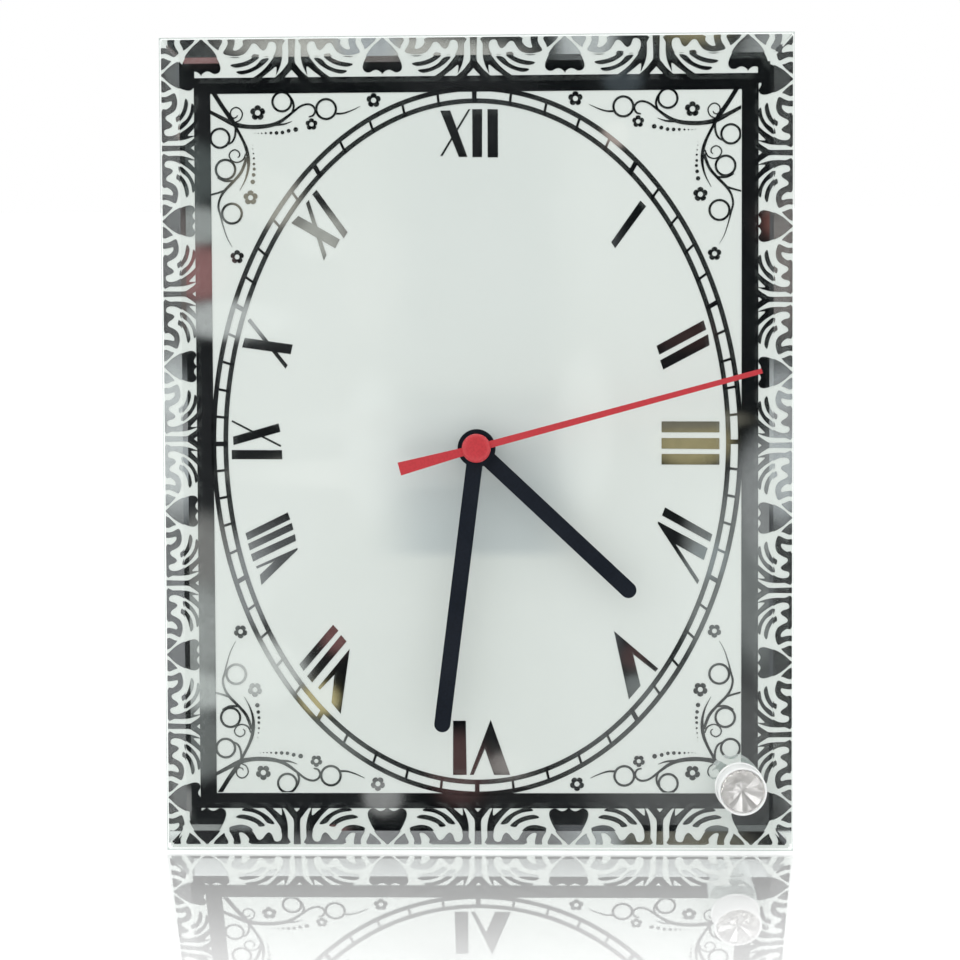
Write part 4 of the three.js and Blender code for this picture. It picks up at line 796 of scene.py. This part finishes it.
NEEDLE_ANGLE = 75.1
NEEDLE_LEVEL = (-13.2, -12.9)
NEEDLE = [(-1.85, -22), (1.85, -22), (1.0, 0), (0.7, 81.2), (-0.7, 81.2), (-1.0, 0)]
CAP = [(0, -14.4), (1.5, -14.37), (2.7, -14.22), (3.4, -13.98), (3.85, -13.66), (4.0, -13.3), (4.0, -12.9),
       (1.1, -12.9), (1.1, -12.2), (0, -12.2)]
make("second_hand_needle", united([aimed(NEEDLE, NEEDLE_ANGLE)], NEEDLE_LEVEL), "hand_red", "second_hand",
     ["second_hand"], bevel=0.07)
make("second_hand_cap", turned(CAP, SHAFT, HUB_STEPS), "hand_red", "second_hand")

# Stud with its cut stone, washers and leg: profiles of radius and level
WASHER = [(2.15, -5.1), (6.8, -5.1), (7.0, -5.25), (7.0, -5.75), (6.8, -5.92), (2.15, -5.92), (2.15, -5.1)]
CUP = [(0, -8.0), (3.0, -8.0), (6.05, -9.85), (6.12, -10.9), (6.2, -11.12), (6.35, -11.22), (6.5, -11.22),
       (6.66, -11.12), (6.75, -10.9), (6.75, -6.25), (6.6, -6.07), (2.0, -6.05), (2.0, 9.9), (0, 9.9)]
REAR_WASHER = [(2.15, 0.4), (5.8, 0.4), (6.0, 0.55), (6.0, 1.1), (5.8, 1.22), (2.15, 1.22), (2.15, 0.4)]
LEG = [(2.15, 1.4), (3.0, 1.4), (3.5, 1.9), (3.5, 76.5), (3.44, 76.9), (3.25, 77.2), (2.9, 77.34), (0, 77.34)]
make("stud_washer_ring", turned(WASHER, STUD_PLACE), "clear_plastic", stands_for=["stud_front_washer"])
make("stud_bezel", turned(CUP, STUD_PLACE), "clear_plastic", stands_for=["stud_cup"])
make("stud_rear_ring", turned(REAR_WASHER, STUD_PLACE), "clear_plastic", stands_for=["stud_rear_washer"])
make("leg_bar", turned(LEG, STUD_PLACE), "chrome", stands_for=["leg_rod"])

# Cut stone: a low point of long facets before the girdle, over foil folded into rays behind
STONE_SIDES = 16
STONE_RADIUS = 6.0
STONE_FOLDS = (-10.0, -10.4)
STONE_RINGS = [(6.0, -10.95, 0), (5.5, -11.4, 1)]
STONE_FRONT = -12.4
STONE_BACK = -9.1
FOIL_GAP = 0.04


def folded_ring(offset=0.0):
    """The stone's rear rim, nearer and farther by turns."""
    rim = circle(STUD_PLACE, STONE_RADIUS, STONE_SIDES)
    return [(x, STONE_FOLDS[index % 2] + offset, z) for index, (x, z) in enumerate(rim)]


def cut_stone():
    """A pointed round stone: long kite facets before the girdle and plain ones behind it."""
    points, faces = folded_ring(), []
    n = STONE_SIDES
    for radius, y, twist in STONE_RINGS:
        ring = circle(STUD_PLACE, radius, n, twist * math.pi / n)
        points += [(x, y, z) for x, z in ring]
    back, front = len(points), len(points) + 1
    points += [(STUD_PLACE[0], STONE_BACK, STUD_PLACE[1]), (STUD_PLACE[0], STONE_FRONT, STUD_PLACE[1])]
    for index in range(n):
        after = (index + 1) % n
        faces.append([index, after, back])
        faces.append([index, after, n + after, n + index])
        faces.append([n + index, n + after, 2 * n + index])
        faces.append([n + after, 2 * n + after, 2 * n + index])
        faces.append([2 * n + index, 2 * n + after, front])
    return points, faces


def foil():
    """Bright foil lining the back of the stone, facet by facet."""
    points, faces = [], []
    n = STONE_SIDES
    for offset in (FOIL_GAP, 2 * FOIL_GAP):
        points += folded_ring(offset)
        points.append((STUD_PLACE[0], STONE_BACK + offset, STUD_PLACE[1]))
    for index in range(n):
        after = (index + 1) % n
        faces.append([index, after, n])
        faces.append([n + 1 + index, n + 1 + after, 2 * n + 1])
        faces.append([index, after, n + 1 + after, n + 1 + index])
    return points, faces


make("stud_foil", foil(), "chrome", sharp=1.0)
make("stud_stone", cut_stone(), "crystal", stands_for=["stud_crystal"], sharp=1.0)

# Cell in the movement's bay: profile of radius and place along its length
CELL_STEPS = 72
CELL_Y = 9.8
CELL_Z = SHAFT_HEIGHT - 19.35
CELL = [(0, -25.25), (5.2, -25.25), (5.5, -25.1), (6.5, -25.1), (6.95, -24.95), (7.1, -24.6), (7.1, 22.9),
        (7.0, 23.4), (6.75, 23.75), (6.3, 23.85), (3.1, 23.85), (2.85, 23.95), (2.75, 24.2), (2.75, 24.95),
        (2.6, 25.2), (2.3, 25.25), (0, 25.25)]


def cell_shape():
    """The cell lying across the movement, its positive end to the right."""
    points, faces = turned(CELL, (0, 0), CELL_STEPS)
    return [(y, CELL_Y + x, CELL_Z + z) for x, y, z in points], faces


make("cell", cell_shape(), "cell_sleeve", "battery", ["battery_cell"])

# Finishes of the CAD nodes that stay, with welded and softened edges where they show
SOFT_EDGES = {"movement_case": 0.25, "movement_cover": 0.25, "setting_knob": 0.12}
slots = {part["node"]: part["material_slot"] for part in frame["record"]["subparts"]}
for name, node in frame["nodes"].items():
    node.data.materials.clear()
    node.data.materials.append(FINISH[slots[name]])
    if name in SOFT_EDGES:
        node.modifiers.new("weld", "WELD").merge_threshold = WELD_WITHIN
        soften(node, SOFT_EDGES[name], CASE_ANGLE)

# Stage: pale floor that shows a fading reflection, soft light, and a dim room in front for the mirror film
FLOOR_HALF = 3.0
FLOOR_FRONT = -0.12
FLOOR_BACK = 4.0
FLOOR_DROP = 0.0002
FLOOR_GLOW = 0.3
FOOT_LEVEL = -3.4
FOOT_Y = (PANEL @ Vector((0, FOOT_LEVEL * MM, 0))).y

# The floor's shine: fades towards the viewer, behind the clock, at the panel's foot and beside the panel
SHINE_FRONT = (-0.115, -0.05)
SHINE_SHARES = (0.28, 0.66)
SHINE_BACK = (0.05, 0.3)
SHINE_FAR = 0.2
SHINE_FOOT = (FOOT_Y + 0.0002, FOOT_Y - 0.0028)
SHINE_SIDES = (0.0885, 0.0915)


def floor_material():
    """Pale matt floor that keeps the shadow, with a shine before the clock."""
    made = bpy.data.materials.new("floor")
    tree = tree_of(made)
    where = placed(tree)
    split = add(tree, "ShaderNodeSeparateXYZ", {0: where})
    speck = noise(tree, where, 240.0, 2.0)
    path = add(tree, "ShaderNodeLightPath")
    pale = mix_colour(tree, speck, grey(0.8), grey(0.84))
    soft = add(tree, "ShaderNodeBsdfDiffuse", {"Color": pale})
    seen = math_node(tree, "MAXIMUM", path.outputs["Is Camera Ray"], path.outputs["Is Transmission Ray"])
    glow = add(tree, "ShaderNodeEmission", {
        "Color": grey(1.0), "Strength": math_node(tree, "MULTIPLY", seen, FLOOR_GLOW),
    })
    body = add(tree, "ShaderNodeAddShader", {0: soft.outputs[0], 1: glow.outputs[0]})
    shine = add(tree, "ShaderNodeBsdfGlossy", {"Color": grey(1.0), "Roughness": 0.02})
    share = stepped(tree, split.outputs["Y"], *SHINE_FRONT, *SHINE_SHARES)
    away = stepped(tree, split.outputs["Y"], *SHINE_BACK, 1.0, SHINE_FAR)
    near = stepped(tree, split.outputs["Y"], *SHINE_FOOT)
    across = math_node(tree, "ABSOLUTE", split.outputs["X"])
    beside = stepped(tree, across, *SHINE_SIDES, 1.0, 0.0)
    for fade in (away, near, beside):
        share = math_node(tree, "MULTIPLY", share, fade)
    mixed = add(tree, "ShaderNodeMixShader", {0: share, 1: body.outputs[0], 2: shine.outputs[0]})
    add(tree, "ShaderNodeOutputMaterial", {"Surface": mixed.outputs[0]})
    return made


floor_mesh = bpy.data.meshes.new("floor")
floor_mesh.from_pydata([
    (-FLOOR_HALF, FLOOR_FRONT, 0), (FLOOR_HALF, FLOOR_FRONT, 0),
    (FLOOR_HALF, FLOOR_BACK, 0), (-FLOOR_HALF, FLOOR_BACK, 0),
], [], [(0, 1, 2, 3)])
floor = bpy.data.objects.new("floor", floor_mesh)
floor.location.z = CAD_BOX[0].z - FLOOR_DROP
floor_mesh.materials.append(floor_material())
scene.collection.objects.link(floor)

# Soft patches of the dim room: place on the mirror where each shows, reach, colour
PATCH_EYE = (9.3, 117.0)
PATCH_RANGE = 420.0
PATCH_FADE = (0.25, 1.4)
PATCHES = [
    ((60, 115), (12, 7.5), (0.37, 0.31, 0.17)),
    ((57, 121.5), (20, 3.5), (0.17, 0.155, 0.125)),
    ((-80, 192), (9, 9), (0.085, 0.095, 0.095)),
    ((-80, 177), (9, 6), (0.36, 0.37, 0.365)),
    ((-79, 163.5), (10, 8.5), (0.3, 0.15, 0.15)),
    ((-70, 150.5), (18, 6), (0.5, 0.5, 0.5)),
    ((-79, 84), (9, 12), (0.23, 0.22, 0.215)),
    ((-60, 84), (12, 10), (0.1, 0.1, 0.105)),
    ((-66, 76), (8, 14), (0.28, 0.28, 0.29)),
    ((-80, 62), (10, 14), (0.36, 0.365, 0.36)),
    ((-80, 44), (8, 6.5), (0.52, 0.53, 0.52)),
    ((-80, 29), (8, 11), (0.17, 0.175, 0.175)),
    ((-56, 27), (24, 10), (0.17, 0.175, 0.17)),
    ((-62, 50), (13, 10), (0.58, 0.58, 0.57)),
    ((-46, 42), (6, 5), (0.55, 0.46, 0.24)),
    ((-41, 60), (5, 5), (0.2, 0.09, 0.09)),
    ((-28, 14), (6, 6), (0.3, 0.29, 0.29)),
    ((-6, 22), (9, 11), (0.085, 0.046, 0.046)),
    ((8, 23), (6, 4), (0.33, 0.29, 0.28)),
    ((44, 54), (4, 4), (0.09, 0.05, 0.05)),
    ((45, 45), (5, 4), (0.3, 0.32, 0.32)),
    ((62, 26), (36, 26), (0.112, 0.11, 0.112)),
    ((66, 76), (9, 30), (0.2, 0.205, 0.205)),
    ((65, 82), (6, 6), (0.3, 0.32, 0.33)),
    ((80, 72), (10, 24), (0.2, 0.205, 0.205)),
    ((83, 99), (12, 20), (0.285, 0.285, 0.29)),
    ((58, 146), (10, 5), (0.04, 0.02, 0.02)),
    ((85, 177), (5, 5), (0.2, 0.08, 0.07)),
    ((39, 202), (4, 4), (0.48, 0.38, 0.35)),
    ((41, 217), (6, 4), (0.06, 0.07, 0.08)),
    ((-57, 184), (7, 8), (0.42, 0.39, 0.35)),
    ((-44, 174), (10, 7), (0.45, 0.44, 0.41)),
    ((-64, 187), (7, 9), (0.28, 0.25, 0.2)),
    ((-28, 106.5), (42, 5), (0.54, 0.51, 0.48)),
    ((30, 118), (9, 24), (0.55, 0.56, 0.57)),
    ((30, 62), (10, 34), (0.13, 0.13, 0.14)),
    ((30, 176), (10, 22), (0.1, 0.1, 0.105)),
    ((-30, 114), (9, 22), (0.46, 0.47, 0.49)),
    ((-30, 164), (10, 20), (0.17, 0.14, 0.135)),
    ((-10, 121), (44, 5), (0.3, 0.29, 0.3)),
]

# The room by direction, as slopes from the panel's own straight ahead
WALL_SLOPES = (0.3, 0.5)
WALL_TONE = 0.34
HIGH_SLOPES = (1.05, 1.4)
LOW_SLOPES = (-0.33, -0.6)
FAR_SLOPES = (0.8, 0.95)
LIGHT_TONE = 1.9
BEHIND = (0.25, -0.1)
LEAST_DEPTH = 0.02


def room(tree, where):
    """Dim room with soft patches, grey walls beside it, and light above, below, far aside and behind."""
    ahead = add(tree, "ShaderNodeVectorMath", {0: where, 1: -BACK}, operation="DOT_PRODUCT").outputs["Value"]
    rise = add(tree, "ShaderNodeVectorMath", {0: where, 1: UP}, operation="DOT_PRODUCT").outputs["Value"]
    side = add(tree, "ShaderNodeSeparateXYZ", {0: where}).outputs["X"]
    depth = math_node(tree, "MAXIMUM", ahead, LEAST_DEPTH)
    across = math_node(tree, "DIVIDE", side, depth)
    high = math_node(tree, "DIVIDE", rise, depth)
    cloud = noise(tree, where, 9.0, 3.0)
    cloudy = stepped(tree, cloud, 0.42, 0.7)
    colour = mix_colour(tree, cloudy, (0.002, 0.0025, 0.0035, 1), (0.018, 0.018, 0.02, 1))
    for (x, z), (wide, tall), tone in PATCHES:
        u = math_node(tree, "SUBTRACT", across, (x - PATCH_EYE[0]) / PATCH_RANGE)
        v = math_node(tree, "SUBTRACT", high, (z - PATCH_EYE[1]) / PATCH_RANGE)
        u = math_node(tree, "DIVIDE", u, wide / PATCH_RANGE)
        v = math_node(tree, "DIVIDE", v, tall / PATCH_RANGE)
        far = math_node(tree, "ADD", math_node(tree, "MULTIPLY", u, u), math_node(tree, "MULTIPLY", v, v))
        colour = mix_colour(tree, stepped(tree, far, *PATCH_FADE, 1.0, 0.0), colour, (*tone, 1))
    aside = math_node(tree, "ABSOLUTE", across)
    colour = mix_colour(tree, stepped(tree, aside, *WALL_SLOPES), colour, grey(WALL_TONE))
    bright = math_node(tree, "MAXIMUM", stepped(tree, high, *HIGH_SLOPES), stepped(tree, high, *LOW_SLOPES))
    bright = math_node(tree, "MAXIMUM", bright, stepped(tree, aside, *FAR_SLOPES))
    colour = mix_colour(tree, bright, colour, grey(LIGHT_TONE))
    return mix_colour(tree, stepped(tree, ahead, *BEHIND), colour, grey(1.0))


# World: soft light for the object, the room for its reflections, white for the camera
LIGHT_HEIGHTS = (-0.4, 0.8)
LIGHT_BELOW = 0.88
LIGHT_ABOVE = 1.14
world = bpy.data.worlds.new("studio")
scene.world = world
tree = tree_of(world)
direction = add(tree, "ShaderNodeTexCoord").outputs["Generated"]
path = add(tree, "ShaderNodeLightPath")
height = add(tree, "ShaderNodeSeparateXYZ", {0: direction}).outputs["Z"]
light = mix_colour(tree, stepped(tree, height, *LIGHT_HEIGHTS), grey(LIGHT_BELOW), grey(LIGHT_ABOVE))
mirrored = math_node(tree, "MAXIMUM", path.outputs["Is Glossy Ray"], path.outputs["Is Transmission Ray"])
shown = mix_colour(tree, mirrored, light, room(tree, direction))
shown = mix_colour(tree, path.outputs["Is Camera Ray"], shown, grey(1.0))
sky = add(tree, "ShaderNodeBackground", {"Color": shown, "Strength": 1.0})
add(tree, "ShaderNodeOutputWorld", {"Surface": sky.outputs[0]})

# Key lamp, large and soft, from the upper left
KEY_PLACE = (-0.55, -0.75, 0.95)
KEY_AIM = Vector((0, 0, 0.11))
key = bpy.data.lights.new("key", "AREA")
key.shape = "DISK"
key.size = 1.6
key.energy = 0.8
key.specular_factor = 0.4
key_lamp = bpy.data.objects.new("key", key)
key_lamp.location = KEY_PLACE
key_lamp.rotation_euler = (KEY_AIM - key_lamp.location).to_track_quat("-Z", "Y").to_euler()
key_lamp.visible_glossy = False
key_lamp.visible_transmission = False
scene.collection.objects.link(key_lamp)

# Camera where the photograph's was: place in the panel's frame and angles in degrees
CAMERA_PLACE = Vector((9.8, -420.1, 117.7))
CAMERA_TURN = 1.27
CAMERA_DOWN = 12.88
CAMERA_ROLL = -0.49
CAMERA_ANGLE = 36.0
camera = bpy.data.cameras.new("camera")
camera.sensor_width = 36.0
camera.angle = math.radians(CAMERA_ANGLE)
camera.clip_start = 0.01
eye = bpy.data.objects.new("camera", camera)
turn = Matrix.Rotation(math.radians(CAMERA_TURN), 4, "Z")
tip = Matrix.Rotation(math.radians(90 - CAMERA_DOWN), 4, "X")
roll = Matrix.Rotation(math.radians(CAMERA_ROLL), 4, "Z")
eye.matrix_world = Matrix.Translation(PANEL @ (CAMERA_PLACE * MM)) @ turn @ tip @ roll
scene.collection.objects.link(eye)
scene.camera = eye

scene.view_settings.view_transform = "Standard"
